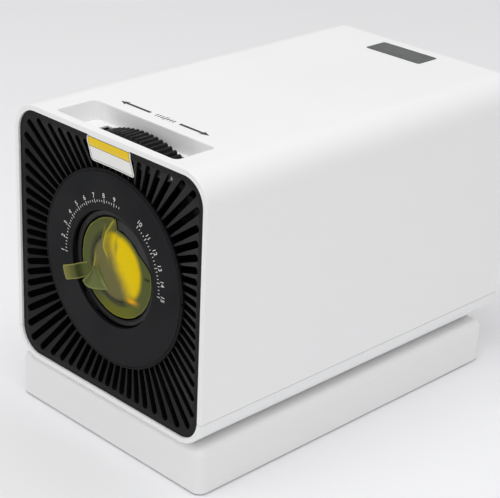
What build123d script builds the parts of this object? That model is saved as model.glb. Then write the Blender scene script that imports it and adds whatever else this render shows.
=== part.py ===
from build123d import *
import math
import os

# Table-top projector standing on a disc-player base. Millimetres, +Z up, the lens looks along -Y.
# The origin is on the table, under the middle of the housing.

# ---------------------------------------------------------------- clearances
panel_gap = 0.3        # round a panel or a key in its opening
slide_gap = 0.3        # between faces that pass each other
run_gap = 0.05         # radial, a shaft in its bearing
screw_gap = 0.1        # radial, a screw in its hole

# ---------------------------------------------------------------- housing
body_width = 150.0
body_height = 150.0
body_depth = 244.0
body_corner = 17.0     # outer radius of the four long edges
wall = 3.0
rim_break = 0.5        # small radius on the front and rear rims
seam_height = 16.0     # seam between sleeve and lower shell, above the underside
seam_gap = 0.3
lip_height = 4.0       # tongue that lines the two shells up
lip_thick = 1.5
boss_radius = 4.0
boss_inset = 9.5       # corner bosses, in from the housing's outside
boss_length = 12.0
screw_radius = 1.5
screw_head_radius = 2.8
screw_head = 1.8
screw_recess = 1.0     # depth of the drive recess in a screw's head
blind_end = 2.0        # left solid at the end of a blind screw hole
screw_short = 1.0      # a screw's tip stops this far before the end of its hole
joint_post_inset = 21.0
joint_depths = (80.0, 184.0)
joint_boss_height = 12.0
lip_margin = 8.0       # the tongue stops this far from the corner bosses
stop_rise = 30.0       # blocks on the sleeve's sides, which the grille seats on
stop_size = 4.0
rib_count = 5          # ribs on the lower shell's floor, each side of the middle
rib_pitch = 10.0
rib_height = 5.0

# ---------------------------------------------------------------- base
foot_stand = 1.0       # the feet lift the base this far
foot_radius = 7.0
foot_sink = 0.7        # depth of the foot's pocket
foot_inset = 15.0
base_width = 149.0
base_length = 234.3
base_height = 25.5
base_setback = 0.7     # base's front face behind the housing's
base_wall = 2.5
base_corner = 5.5
base_top_round = 4.5
base_floor_thick = 2.0
shadow_gap = 0.5       # raised pad on the base, which the housing stands on
pad_width = 112.0
pad_length = 200.0
pad_corner = 10.0
couple_x = 40.0        # screws that hold the housing on the base
couple_y = 77.0
couple_post = 8.0
cover_post_inset = 9.0 # screw posts of the cover, in from its outside
foot_shift = 10.0      # the feet stand this much further in along the length

# ---------------------------------------------------------------- front grille, bezel and sticker
grille_recess = 1.2    # border behind the housing's rim
grille_border = 4.0    # plain border outside the slots
grille_thick = 2.0
grille_skirt = 3.8
skirt_thick = 1.6
dish_depth = 5.0       # where the dish meets the bezel, behind the rim
slot_count = 72
slot_width = 3.8
bezel_radius = 54.7
bezel_bore = 32.0
bezel_depth = 4.1      # bezel's face behind the rim
bezel_thick = 2.0
bezel_groove = 0.4
bezel_groove_inset = 1.2
bezel_break = 0.5      # bevels of the bezel's two rims
bezel_bore_break = 0.4
bezel_fit = 0.2        # radial, the bezel in its seat
pry_notch = 0.8        # radius of the notch on each side of the bezel
dish_margin = 0.8      # the dish ends this far outside the bezel
slot_overlap = 2.2     # the slots run this far under the bezel
seat_width = 9.0       # flange under the bezel
seat_thick = 2.0
sticker_width = 33.6
sticker_drop = 15.0
sticker_offset = 1.0
sticker_thick = 0.2
sticker_corner = 2.0
sticker_edge = 0.4     # below the top of the grille

# ---------------------------------------------------------------- focus well and ring
well_width = 93.0
well_front = 5.5       # behind the front rim
well_rear = 32.0
well_corner = 3.0
well_deep = 10.5
well_lean = 2.0        # the end walls lean in this much
well_skin = 1.2
well_floor = 2.0
well_round = 0.8
ring_radius = 70.5
ring_front = 16.6
ring_length = 11.4
ring_teeth = 120
tooth_height = 1.5
tooth_foot = 0.94      # width of a tooth's foot and tip, as shares of the tooth step
tooth_tip = 0.36
ring_rim = 3.0
ring_web = 3.0
ring_hub_wall = 4.5
ring_vent_radius = 8.0
ring_vent_count = 12
vent_margin = 4.5      # between the vents and the ring's rim
ring_turn = 60.0       # degrees, stop to stop
focus_travel = 8.0
cam_spare = 1.2        # the cam slots go on past the pins' two stops

# ---------------------------------------------------------------- lens
barrel_radius = 31.2
barrel_wall = 2.6
barrel_front = 6.6     # front lip behind the rim
barrel_length = 58.0
barrel_break = 0.8     # bevel inside the front lip
guide_wall = 2.75
guide_front = 12.5
guide_rear = 50.0
plate_gap = 2.0        # mount plate behind the well
plate_thick = 3.0
plate_vent_radius = 7.0
pin_radius = 1.5
pin_count = 3
pin_depth = 27.0       # focus pins behind the rim, lens drawn in
pin_sink = 1.5         # into the barrel's wall
pin_press = 0.02       # radial, a pin in its hole
pin_short = 1.0        # from the pin's tip to the outside of the ring's hub
clip_thick = 1.5
clip_width = 5.8
front_glass_radius = 26.0
front_glass_edge = 3.0
front_glass_bulge = 4.2
glass_rim = 6.0        # flat rim of the front glass
lens_ring_bore = 20.3
lens_ring_front = 7.9
lens_ring_thick = 2.6
lens_ring_bevel = (1.2, 0.8)
lens_ring_relief = (1.5, 1.2)
notch_turns = (3, 78, 183, 258)
notch_width = 1.6      # slots for the ring's spanner
notch_reach = 2.2
notch_deep = 1.0
middle_glass_radius = 20.0
middle_glass_edge = 3.0
middle_rim = 2.2
rear_glass_radius = 26.0
rear_glass_edge = 4.0
rear_glass_bulge = 4.0
rear_glass_rim = 4.2
rear_glass_sink = 4.0  # in from the barrel's rear end
rear_ring_sink = 1.0
rear_ring_lap = 0.5    # the ring's bore is this much wider than the clear glass
front_ledge = 4.0      # width of the ledge behind the front glass
middle_ledge = 2.0     # width and thickness of the ledge behind the middle glass
middle_forward = 4.0   # the ledge's front, ahead of halfway along the bore
glass_gap = 0.1
film_radius = 27.5
film_thick = 0.2
film_tab_width = 8.0
film_tab_reach = 41.0
film_tab_angle = 196.0

# ---------------------------------------------------------------- light path
tunnel_width = 98.0    # clear width inside
tunnel_height = 76.0
tunnel_wall = 2.5
tunnel_rear = 176.0    # behind the rim
tunnel_end_wall = 3.0
lamp_window_radius = 30.0
groove_depth = 1.2
groove_gap = 0.1
sheet_thick = 2.0
front_field_at = 114.0
lcd_at = 122.0
lcd_thick = 2.8
rear_field_at = 131.0
heat_glass_at = 141.0
heat_glass_thick = 1.5
holder_at = 156.0
holder_thick = 3.0
condenser_radius = 34.0
condenser_bulge = 9.0
condenser_rim = 2.0
tunnel_leg_x = 60.0
tunnel_leg_radius = 4.0
tunnel_ear_thick = 4.0
tunnel_ear_y = (66.0, 150.0)
tunnel_ear_rise = 10.0
leg_hole = 12.0
cover_post_side = 12.0 # posts on the tunnel's cover, in from its sides and ends
cover_post_end = 8.0
cover_skin = 0.6       # left under the holes in those posts

# ---------------------------------------------------------------- lamp, heat sink and fan
led_size = 30.0
led_thick = 2.0
led_dome_radius = 9.0
led_dome = 0.8
sink_size = 80.0
sink_base = 5.0
fin_count = 15
fin_thick = 1.5
fin_length = 32.0
fan_size = 70.0
fan_thick = 15.0
fan_bore = 33.0
fan_hub = 14.0
fan_blades = 7
blade_thick = 1.6
blade_gap = 1.2
blade_pitch = 38.0     # degrees
blade_spill = 1.05     # blade's chord, as a share of the rotor's length
fan_shaft = 1.5
fan_back = 2.0
fan_corner = 4.0
fan_hole_inset = 4.0
fan_strut = 3.0
fan_clear = 0.6        # between the rotor and the frame, along the axis
fan_cup_wall = 1.5
fan_bearing_wall = 2.0
fan_bearing = 4.0      # length of the bearing inside the cup
fan_shaft_end = 1.0

# ---------------------------------------------------------------- rear panel and what sits in it
rear_recess = 3.0
rear_thick = 2.5
vent_slot = 2.6
vent_pitch = 6.0
vent_radius = 31.0
speaker_x = 49.0
speaker_drop = 51.0    # below the lens axis
speaker_radius = 16.0
speaker_depth = 14.0
speaker_flange = 3.0
speaker_rim = 2.0
speaker_cone = 5.0
speaker_magnet = 9.5   # radius
speaker_hole = 1.2
speaker_pitch = 4.2
speaker_margin = 3.5   # from the holes to the speaker's edge
key_x = 58.0
key_pitch = 16.0
key_radius = 4.5
key_flange = 1.5
key_flange_thick = 1.2
key_proud = 1.2
key_travel = 0.8
key_round = 0.6
key_stem_radius = 1.5
key_stem = 2.0
switch_size = 6.0
switch_height = 3.5
key_board_thick = 1.2
key_board_width = 12.0
key_board_end = 4.0    # past the posts
key_post_radius = 2.0
ir_radius = 4.0
ir_flange = 1.2
ir_rise = 2.0
ir_x = 54.0

# ---------------------------------------------------------------- boards and sockets
board_thick = 1.6
main_board_width = 126.0
main_board_length = 136.0
main_board_rise = 48.0     # above the lens axis
board_setback = 1.0        # from the rear panel
chip_size = 32.0
chip_thick = 2.0
chip_at = 60.0             # from the board's front edge
cooler_size = 30.0
cooler_base = 2.0
cooler_height = 8.0
cooler_fins = 7
cooler_fin_thick = 1.2
power_board_width = 96.0
power_board_length = 132.0
power_board_start = 62.0
power_board_rise = 8.0     # above the shell's floor
post_inset = 6.0
post_radius = 3.0
video_x = -40.0
video_size = (15.0, 11.5, 5.6)
data_x = -14.0
data_size = (14.2, 14.0, 6.8)
audio_x = 12.0
audio_size = (9.0, 14.0, 8.0)
audio_bore = 1.8
audio_nose = 3.2
audio_end = 1.5            # left solid behind the bore
socket_wall = 0.5
socket_back = 2.0
tongue_thick = 1.2
tongue_sink = 2.0
inlet_size = (26.0, 22.0, 16.0)
inlet_rise = 18.0          # middle of the power inlet above the shell's floor
inlet_mouth = (20.0, 14.0, 9.0)
inlet_flange = (2.0, 1.5)  # width and thickness
inlet_pin_radius = 1.2
inlet_pin_pitch = 8.6
inlet_pin_sink = 2.0

# ---------------------------------------------------------------- badge
badge_width = 41.0
badge_length = 17.0
badge_thick = 0.6
badge_pocket = 0.4
badge_corner = 1.5
badge_middle = 227.2   # behind the front rim

# ---------------------------------------------------------------- disc drive
drive_width = 128.0    # along Y
drive_length = 127.0   # along X
drive_height = 12.7
drive_lift = 2.0       # pads on the base's floor
sheet_steel = 0.8
face_width = 129.0     # tray's front face, along Y
face_height = 12.0
face_thick = 3.0
tray_length = 122.0
tray_plate = 3.3
tray_headroom = 1.0
recess_radius = 60.5
recess_deep = 1.8
skirt_inner = 57.5     # tray's side ribs, from the disc's axis
rail_width = 2.4
rail_height = 3.5
rail_length = 116.0
rail_shelf = 0.8
hub_radius = 7.4
hub_rise = 2.2         # above the recess's floor
hub_flange = 13.0
spindle_radius = 1.0
spindle_motor_radius = 11.0
traverse_angle = 45.0
traverse_width = 35.0
traverse_reach = 62.5
traverse_thick = 1.0
traverse_drop = 4.4    # below the tray's plate
laser_start = 23.5     # lens, from the disc's axis, parked
laser_travel = 33.5
rod_radius = 1.3
rod_low = -13.0
rod_high = 10.0
screw_line = 14.5
lead_radius = 1.2
eject_y = -40.0        # from the disc's axis
eject_width = 8.0
eject_height = 2.6
eject_proud = 0.4
eject_travel = 1.0
eject_below = 0.2      # the button's top is this far below the tray's plate, past the gap
eject_flange = 1.0
eject_stem = 3.0
eject_stem_width = 3.0
pinhole_radius = 0.7   # lets a stuck tray out
pinhole_y = 14.0       # from the button's middle

# ---------------------------------------------------------------- places worked out from the sizes
front_y = -body_depth / 2
rear_y = body_depth / 2
base_bottom = foot_stand
base_top = base_bottom + base_height
body_bottom = base_top + shadow_gap
body_top = body_bottom + body_height
axis_z = body_bottom + body_height / 2
seam_z = body_bottom + seam_height
floor_z = body_bottom + wall
half_in_x = body_width / 2 - wall
half_in_z = body_height / 2 - wall
inner_corner = body_corner - wall
boss_x = body_width / 2 - boss_inset
boss_z = body_height / 2 - boss_inset


def at(depth):
    """Y of a point this far behind the front rim."""
    return front_y + depth


def block(x0, x1, y0, y1, z0, z1):
    """A box between two corners."""
    return Pos((x0 + x1) / 2, (y0 + y1) / 2, (z0 + z1) / 2) * Box(x1 - x0, y1 - y0, z1 - z0)


def rod_y(radius, y0, y1, x=0.0, z=axis_z):
    """A round bar along Y."""
    return Pos(x, (y0 + y1) / 2, z) * Rot(90, 0, 0) * Cylinder(radius, y1 - y0)


def rod_x(radius, x0, x1, y, z):
    """A round bar along X."""
    return Pos((x0 + x1) / 2, y, z) * Rot(0, 90, 0) * Cylinder(radius, x1 - x0)


def rod_z(radius, z0, z1, x=0.0, y=0.0):
    """A round bar along Z."""
    return Pos(x, y, (z0 + z1) / 2) * Cylinder(radius, z1 - z0)


def tube_y(width, height, corner, y0, y1, x=0.0, z=axis_z):
    """A bar along Y with a rounded rectangle for its section."""
    plane = Plane(origin=(x, y0, z), x_dir=(1, 0, 0), z_dir=(0, 1, 0))
    return extrude(plane * RectangleRounded(width, height, corner), y1 - y0)


def plate_z(size_x, size_y, corner, z0, z1, x=0.0, y=0.0):
    """A flat plate with rounded corners."""
    return extrude(Pos(x, y, z0) * RectangleRounded(size_x, size_y, corner), z1 - z0)


def turned(points, z=axis_z):
    """A piece turned about the lens axis, from (radius, depth behind the rim) points."""
    outline = Polyline(*[(radius, at(depth)) for radius, depth in points], close=True)
    return Pos(0, 0, z) * revolve(make_face(outline), Axis.Y)


def glass(radius, rim, front, edge, bulge_front, bulge_rear):
    """A round lens with a flat rim, which starts at the depth front. A positive bulge is convex."""
    rear = front + edge
    clear = radius - rim

    def middle(bulge):
        """Height of the cap halfway from its middle to its edge."""
        ball = (clear ** 2 + bulge ** 2) / (2 * abs(bulge))
        return math.copysign(abs(bulge) - ball + math.sqrt(ball ** 2 - clear ** 2 / 4), bulge)

    front_cap = ((clear, at(front)), (clear / 2, at(front - middle(bulge_front))), (0, at(front - bulge_front)))
    rear_cap = ((0, at(rear + bulge_rear)), (clear / 2, at(rear + middle(bulge_rear))), (clear, at(rear)))
    edges = [
        Line(front_cap[-1], rear_cap[0]),
        ThreePointArc(*rear_cap),
        Line(rear_cap[-1], (radius, at(rear))),
        Line((radius, at(rear)), (radius, at(front))),
        Line((radius, at(front)), front_cap[0]),
        ThreePointArc(*front_cap),
    ]
    return Pos(0, 0, axis_z) * revolve(make_face(edges), Axis.Y)


def screw_y(y_head, y_tip, x, z):
    """A pan-head screw along Y. The head's inner face is at y_head."""
    way = 1 if y_tip > y_head else -1
    y_top = y_head - way * screw_head
    head = rod_y(screw_head_radius, min(y_head, y_top), max(y_head, y_top), x, z)
    y_recess = y_top + way * screw_recess
    recess = rod_y(screw_head_radius / 3, min(y_top, y_recess), max(y_top, y_recess), x, z)
    shank = rod_y(screw_radius, min(y_head, y_tip), max(y_head, y_tip), x, z)
    return head + shank - recess


def screw_up(z_head, z_tip, x, y):
    """A pan-head screw that points up. The head's upper face is at z_head."""
    head = rod_z(screw_head_radius, z_head - screw_head, z_head, x, y)
    recess = rod_z(screw_head_radius / 3, z_head - screw_head, z_head - screw_head + screw_recess, x, y)
    return head + rod_z(screw_radius, z_head, z_tip, x, y) - recess


def screw_down(z_head, z_tip, x, y):
    """A pan-head screw that points down. The head's lower face is at z_head."""
    return Pos(x, y, 2 * z_head) * Rot(180, 0, 0) * screw_up(z_head, 2 * z_head - z_tip, 0, 0)


def group(shapes):
    """Several separate solids in one node."""
    return Compound(children=[solid for shape in shapes for solid in shape.solids()])


def save(node, shape):
    """Write one node."""
    solids = shape.solids()
    export_step(solids[0] if len(solids) == 1 else Compound(children=list(solids)), f"parts/{node}.step")


os.makedirs("parts", exist_ok=True)
corner_places = [(sx * boss_x, sz * boss_z) for sx in (-1, 1) for sz in (-1, 1)]

# ================================================================ housing
# Two white shells: a sleeve for the top and sides, and a tray-like lower shell, parted by the seam.
tunnel_outer = tube_y(body_width, body_height, body_corner, front_y, rear_y)
rim_edges = tunnel_outer.faces().sort_by(Axis.Y)[0].edges() + tunnel_outer.faces().sort_by(Axis.Y)[-1].edges()
tunnel_outer = fillet(rim_edges, rim_break)
shells = tunnel_outer - tube_y(2 * half_in_x, 2 * half_in_z, inner_corner, front_y - 1, rear_y + 1)

plate_front = well_rear + well_skin + plate_gap
plate_rear = plate_front + plate_thick
panel_front = body_depth - rear_recess - rear_thick
panel_rear = body_depth - rear_recess
far = body_width + body_depth


def well_shape(grow, z_low):
    """The focus well down to z_low, made larger all round by grow."""
    top_z = body_top + 1
    middle_y = at((well_front + well_rear) / 2)
    length = well_rear - well_front + 2 * grow
    lean = well_lean * (body_top - z_low) / well_deep
    top = RectangleRounded(well_width + 2 * grow, length, well_corner + grow)
    low = RectangleRounded(well_width - 2 * lean + 2 * grow, length, well_corner + grow)
    straight = extrude(Pos(0, middle_y, body_top) * top, top_z - body_top)
    return straight + loft([Pos(0, middle_y, z_low) * low, Pos(0, middle_y, body_top) * top], ruled=True)


well_floor_z = body_top - well_deep
ring_rear = ring_front + ring_length
slot_half = math.sqrt(ring_radius ** 2 - (well_floor_z - well_floor - axis_z) ** 2) + 2 * slide_gap
ring_slot = block(-slot_half, slot_half, at(ring_front - 4 * slide_gap), at(ring_rear + 4 * slide_gap),
                  well_floor_z - well_floor - 1, well_floor_z + 1)

sleeve = shells & block(-far, far, -far, far, seam_z + seam_gap / 2, far)
sleeve += well_shape(well_skin, well_floor_z - well_floor) & tunnel_outer
sleeve -= well_shape(0, well_floor_z)
sleeve -= ring_slot


def is_well_edge(edge):
    """Is this edge, on the top face, one of the well's?"""
    middle = edge.center()
    return abs(middle.X) <= well_width / 2 and well_front <= middle.Y - front_y <= well_rear


top_edges = sleeve.edges().filter_by_position(Axis.Z, body_top, body_top)
sleeve = fillet([edge for edge in top_edges if is_well_edge(edge)], well_round)

joint_x = body_width / 2 - joint_post_inset
joint_places = [(sx * joint_x, at(depth)) for sx in (-1, 1) for depth in joint_depths]
joint_z = seam_z + lip_height + slide_gap


def corner_boss(x, z, depth0, depth1):
    """A round boss in a corner of the housing."""
    return rod_y(boss_radius, at(depth0), at(depth1), x, z)


def boss_hole(x, z, depth0, depth1):
    """The screw hole of such a boss."""
    return rod_y(screw_radius + screw_gap, at(depth0), at(depth1), x, z)


plate_boss = (plate_rear, plate_rear + boss_length)
panel_boss = (panel_front - boss_length, panel_front)
for x, z in corner_places:
    if z > 0:
        for span in (plate_boss, panel_boss):
            sleeve += corner_boss(x, axis_z + z, *span) & tunnel_outer
            sleeve -= boss_hole(x, axis_z + z, *span)
for x, y in joint_places:
    side = math.copysign(1, x)
    web = block(min(x, side * half_in_x), max(x, side * half_in_x), y - wall / 2, y + wall / 2,
                joint_z, joint_z + joint_boss_height)
    sleeve += rod_z(boss_radius, joint_z, joint_z + joint_boss_height, x, y) + web
    sleeve -= rod_z(screw_radius + screw_gap, joint_z - 1, joint_z + joint_boss_height - blind_end, x, y)
stop_depth = grille_recess + grille_skirt
for sx in (-1, 1):
    for sz in (-1, 1):
        z = axis_z + sz * stop_rise
        x0, x1 = sorted((sx * (half_in_x - 2 * skirt_thick), sx * (half_in_x + wall / 2)))
        sleeve += block(x0, x1, at(stop_depth), at(stop_depth + stop_size), z - stop_size, z + stop_size)
badge_y = at(badge_middle)
sleeve -= plate_z(badge_width + panel_gap, badge_length + panel_gap, badge_corner + panel_gap / 2,
                  body_top - badge_pocket, body_top + 1, 0, badge_y)
save("housing_sleeve", sleeve)

lower = shells & block(-far, far, -far, far, 0, seam_z - seam_gap / 2)
lip_front = plate_rear + boss_length + lip_margin
lip_rear = panel_front - boss_length - lip_margin
for sx in (-1, 1):
    inner = half_in_x - slide_gap
    x0, x1 = sorted((sx * (inner - lip_thick), sx * inner))
    r0, r1 = sorted((sx * (inner - lip_thick), sx * (half_in_x + wall / 2)))
    lower += block(x0, x1, at(lip_front), at(lip_rear), seam_z - lip_height, seam_z + lip_height)
    lower += block(r0, r1, at(lip_front), at(lip_rear), seam_z - lip_height, seam_z - seam_gap / 2)
for x, z in corner_places:
    if z < 0:
        for span in (plate_boss, panel_boss):
            lower += corner_boss(x, axis_z + z, *span) & tunnel_outer
            lower -= boss_hole(x, axis_z + z, *span)
counterbore = screw_head + screw_recess
for x, y in joint_places:
    lower += rod_z(boss_radius, floor_z - wall / 2, joint_z, x, y)
    lower -= rod_z(screw_radius + screw_gap, body_bottom - 1, joint_z + 1, x, y)
    lower -= rod_z(screw_head_radius + screw_gap, body_bottom - 1, body_bottom + counterbore, x, y)
couple_places = [(sx * couple_x, sy * couple_y) for sx in (-1, 1) for sy in (-1, 1)]
for x, y in couple_places:
    lower += rod_z(boss_radius, floor_z - wall / 2, floor_z + couple_post, x, y)
    lower -= rod_z(screw_radius + screw_gap, body_bottom - 1, floor_z + couple_post - blind_end / 2, x, y)
power_z = floor_z + power_board_rise
power_posts = [(sx * (power_board_width / 2 - post_inset), at(power_board_start + offset))
               for sx in (-1, 1) for offset in (post_inset, power_board_length - post_inset)]
for x, y in power_posts:
    lower += rod_z(post_radius, floor_z - wall / 2, power_z, x, y)
tunnel_low_z = axis_z - tunnel_height / 2 - tunnel_wall
ear_z = tunnel_low_z + tunnel_ear_rise
leg_places = [(sx * tunnel_leg_x, at(depth)) for sx in (-1, 1) for depth in tunnel_ear_y]
for x, y in leg_places:
    lower += rod_z(tunnel_leg_radius, floor_z - wall / 2, ear_z, x, y)
    lower -= rod_z(screw_radius + screw_gap, ear_z - leg_hole, ear_z + 1, x, y)
for index in range(1, rib_count + 1):
    for sx in (-1, 1):
        x = sx * (index * rib_pitch)
        lower += block(x - wall / 4, x + wall / 4, at(stop_depth + 1), at(ring_front - 2),
                       floor_z - wall / 2, floor_z + rib_height)
save("lower_housing", lower)

joint_tip = joint_z + joint_boss_height - blind_end - screw_short
housing_screws = [screw_up(body_bottom + counterbore, joint_tip, x, y) for x, y in joint_places]


# ================================================================ front grille
# Black moulding: a flat border, then a dish that sinks to the bezel, cut by radial slots.
def square_wire(half, corner, depth):
    """A rounded square about the lens axis, as eight edges that start at the same corner."""
    flat = half - corner
    y = at(depth)
    edges = []
    for turn in range(4):
        angle = math.radians(90 * turn)

        def place(u, v):
            return (u * math.cos(angle) - v * math.sin(angle), y,
                    axis_z + u * math.sin(angle) + v * math.cos(angle))

        diagonal = flat + corner * math.sqrt(0.5)
        edges.append(Line(place(half, -flat), place(half, flat)))
        edges.append(ThreePointArc(place(half, flat), place(diagonal, diagonal), place(flat, half)))
    return Wire(edges)


def circle_wire(radius, half, corner, depth):
    """A circle in eight arcs that face the edges of the rounded square."""
    y = at(depth)
    bend = math.atan2(half - corner, half)
    edges = []

    def place(angle):
        return (radius * math.cos(angle), y, axis_z + radius * math.sin(angle))

    for turn in range(4):
        middle = math.pi / 2 * turn
        edges.append(ThreePointArc(place(middle - bend), place(middle), place(middle + bend)))
        start, end = middle + bend, middle + math.pi / 2 - bend
        edges.append(ThreePointArc(place(start), place((start + end) / 2), place(end)))
    return Wire(edges)


grille_half = half_in_x - panel_gap / 2
grille_corner = inner_corner - panel_gap / 2
slot_field = half_in_x - grille_border
field_corner = inner_corner - grille_border
dish_radius = bezel_radius + dish_margin
seat_depth = bezel_depth + bezel_thick


def dish_front(offset):
    """All the space in front of the grille's face, moved back by offset."""
    border = tube_y(2 * grille_half, 2 * grille_half, grille_corner, front_y - 2, at(grille_recess + offset))
    dish = loft([Face(square_wire(slot_field, field_corner, grille_recess + offset)),
                 Face(circle_wire(dish_radius, slot_field, field_corner, dish_depth + offset))], ruled=True)
    return border + dish


def reach(angle):
    """Distance from the lens axis to the edge of the slot field, along an angle."""
    c, s = abs(math.cos(angle)), abs(math.sin(angle))
    flat = slot_field - field_corner
    straight = slot_field / max(c, s)
    if min(c, s) * straight <= flat:
        return straight
    along = flat * (c + s)
    return along + math.sqrt(along ** 2 - 2 * flat ** 2 + field_corner ** 2)


dish_face = dish_front(0)
grille = dish_front(grille_thick) - dish_face
bore_inner = bezel_radius - seat_width
seat_radius = dish_radius + 1
seat_rear = seat_depth + seat_thick
grille += turned([(bore_inner, seat_depth), (seat_radius, seat_depth), (seat_radius, seat_rear),
                  (bore_inner, seat_rear)])
seat_bore = bezel_radius + bezel_fit
grille -= turned([(0, 0), (seat_bore, 0), (seat_bore, seat_depth), (0, seat_depth)])
grille -= rod_y(bore_inner, front_y - 2, at(seat_rear + 1))
skirt = tube_y(2 * grille_half, 2 * grille_half, grille_corner, at(grille_recess), at(stop_depth))
skirt -= tube_y(2 * (grille_half - skirt_thick), 2 * (grille_half - skirt_thick), grille_corner - skirt_thick,
                front_y, at(stop_depth + 1))
grille += skirt
grille -= well_shape(well_skin + slide_gap, well_floor_z - well_floor - slide_gap)
slot_start = bezel_radius - slot_overlap
slots = []
for index in range(slot_count):
    angle = 2 * math.pi * index / slot_count
    length = reach(angle) - slot_start
    centre = slot_start + length / 2
    section = Plane(origin=(centre * math.cos(angle), front_y - 1, axis_z + centre * math.sin(angle)),
                    x_dir=(math.cos(angle), 0, math.sin(angle)), z_dir=(0, 1, 0))
    slots.append(extrude(section * SlotOverall(length, slot_width), seat_rear + 2))
grille -= slots
save("front_grille", grille)

bezel_rear = bezel_depth + bezel_thick
groove_out = bezel_radius - bezel_groove_inset
bezel = turned([
    (bezel_bore, bezel_depth + bezel_bore_break), (bezel_bore + bezel_bore_break, bezel_depth),
    (groove_out - bezel_groove, bezel_depth), (groove_out - bezel_groove, bezel_depth + bezel_groove),
    (groove_out, bezel_depth + bezel_groove), (groove_out, bezel_depth),
    (bezel_radius - bezel_break, bezel_depth), (bezel_radius, bezel_depth + bezel_break),
    (bezel_radius, bezel_rear), (bezel_bore, bezel_rear)])
for side in (-1, 1):
    bezel -= rod_y(pry_notch, at(bezel_depth - 1), at(bezel_depth + pry_notch), side * bezel_radius)
save("lens_bezel", bezel)

sticker_top = half_in_z - sticker_edge
sticker_area = tube_y(sticker_width, sticker_drop, sticker_corner, front_y - 1, at(seat_depth), sticker_offset,
                      axis_z + sticker_top - sticker_drop / 2)
sticker = (dish_face - dish_front(-sticker_thick)) & sticker_area
save("front_sticker", sticker)

save("badge_plate", plate_z(badge_width, badge_length, badge_corner, body_top - badge_pocket,
                            body_top - badge_pocket + badge_thick, 0, badge_y))

# ================================================================ lens mount plate
guide_bore = barrel_radius + run_gap
guide_radius = guide_bore + guide_wall
plate_half = half_in_x - panel_gap
vent_circle = ring_radius - ring_rim - tooth_height - ring_vent_radius - vent_margin
mount = tube_y(2 * plate_half, 2 * plate_half, inner_corner - panel_gap, at(plate_front), at(plate_rear))
mount += rod_y(guide_radius, at(guide_front), at(guide_rear))
mount -= rod_y(guide_bore, at(guide_front - 1), at(guide_rear + 1))
slot_tail = pin_radius + run_gap
for index in range(pin_count):
    turn = 360 / pin_count * index + 90
    guide_slot = block(0, 2 * guide_radius, at(pin_depth - focus_travel) - slot_tail,
                       at(pin_depth) + slot_tail, axis_z - slot_tail, axis_z + slot_tail)
    mount -= guide_slot.rotate(Axis((0, 0, axis_z), (0, 1, 0)), turn)
for index in range(ring_vent_count):
    angle = 2 * math.pi * index / ring_vent_count
    mount -= rod_y(plate_vent_radius, at(plate_front - 1), at(plate_rear + 1),
                   vent_circle * math.cos(angle), axis_z + vent_circle * math.sin(angle))
for x, z in corner_places:
    mount -= rod_y(screw_radius + screw_gap, at(plate_front - 1), at(plate_rear + 1), x, axis_z + z)
save("lens_mount_plate", mount)
housing_screws += [screw_y(at(plate_front), at(plate_rear + boss_length - blind_end), x, axis_z + z)
                   for x, z in corner_places]

clip_rear = guide_front
clip_bore = guide_bore + slide_gap
clip = turned([(clip_bore, clip_rear - clip_thick), (clip_bore + clip_width, clip_rear - clip_thick),
               (clip_bore + clip_width, clip_rear), (clip_bore, clip_rear)])
save("ring_retainer", clip)

# ================================================================ focus ring
# A toothed rim on a web and hub. Three slanted slots in the hub push the focus pins along the guide slots.
hub_bore = guide_radius + run_gap
hub_out = hub_bore + ring_hub_wall
hub_front = clip_rear + slide_gap
hub_rear = plate_front - slide_gap
rim_in = ring_radius - tooth_height - ring_rim
web_front = (ring_front + ring_rear - ring_web) / 2
web_rear = web_front + ring_web
root_radius = ring_radius - tooth_height
ring = turned([
    (hub_bore, hub_front), (hub_out, hub_front), (hub_out, web_front), (rim_in, web_front),
    (rim_in, ring_front), (root_radius, ring_front), (root_radius, ring_rear), (rim_in, ring_rear),
    (rim_in, web_rear), (hub_out, web_rear), (hub_out, hub_rear), (hub_bore, hub_rear)])
tooth_step = 2 * math.pi / ring_teeth
tooth_points = []
for index in range(ring_teeth):
    for share, radius in ((-tooth_foot / 2, root_radius), (-tooth_tip / 2, ring_radius),
                          (tooth_tip / 2, ring_radius), (tooth_foot / 2, root_radius)):
        angle = (index + share) * tooth_step
        tooth_points.append((radius * math.cos(angle), radius * math.sin(angle)))
tooth_plane = Plane(origin=(0, at(ring_front), axis_z), x_dir=(1, 0, 0), z_dir=(0, 1, 0))
teeth = extrude(tooth_plane * make_face(Polyline(*tooth_points, close=True)), ring_length)
ring += teeth - rod_y(root_radius - ring_rim / 2, at(ring_front - 1), at(ring_rear + 1))
for index in range(ring_vent_count):
    angle = 2 * math.pi * index / ring_vent_count
    ring -= rod_y(ring_vent_radius, at(web_front - 1), at(web_rear + 1),
                  vent_circle * math.cos(angle), axis_z + vent_circle * math.sin(angle))
pin_radius_line = (hub_bore + hub_out) / 2
slot_half_width = pin_radius + 1.5 * slide_gap
pin_chord = 2 * pin_radius_line * math.sin(math.radians(ring_turn / 2))
for index in range(pin_count):
    turn = 360 / pin_count * index
    cam_plane = Plane(origin=(0, at(pin_depth - focus_travel / 2), axis_z), x_dir=(1, 0, 0), z_dir=(0, 0, 1))
    overall = math.hypot(pin_chord, focus_travel) + 2 * (slot_half_width + cam_spare)
    slant = math.degrees(math.atan2(focus_travel, pin_chord))
    cam = extrude(cam_plane * Rot(0, 0, slant) * SlotOverall(overall, 2 * slot_half_width), 2 * hub_out)
    cam &= rod_y(hub_out + 1, at(hub_front), at(hub_rear))
    ring -= cam.rotate(Axis((0, 0, axis_z), (0, 1, 0)), turn + ring_turn / 2)
save("focus_ring", ring)

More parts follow.
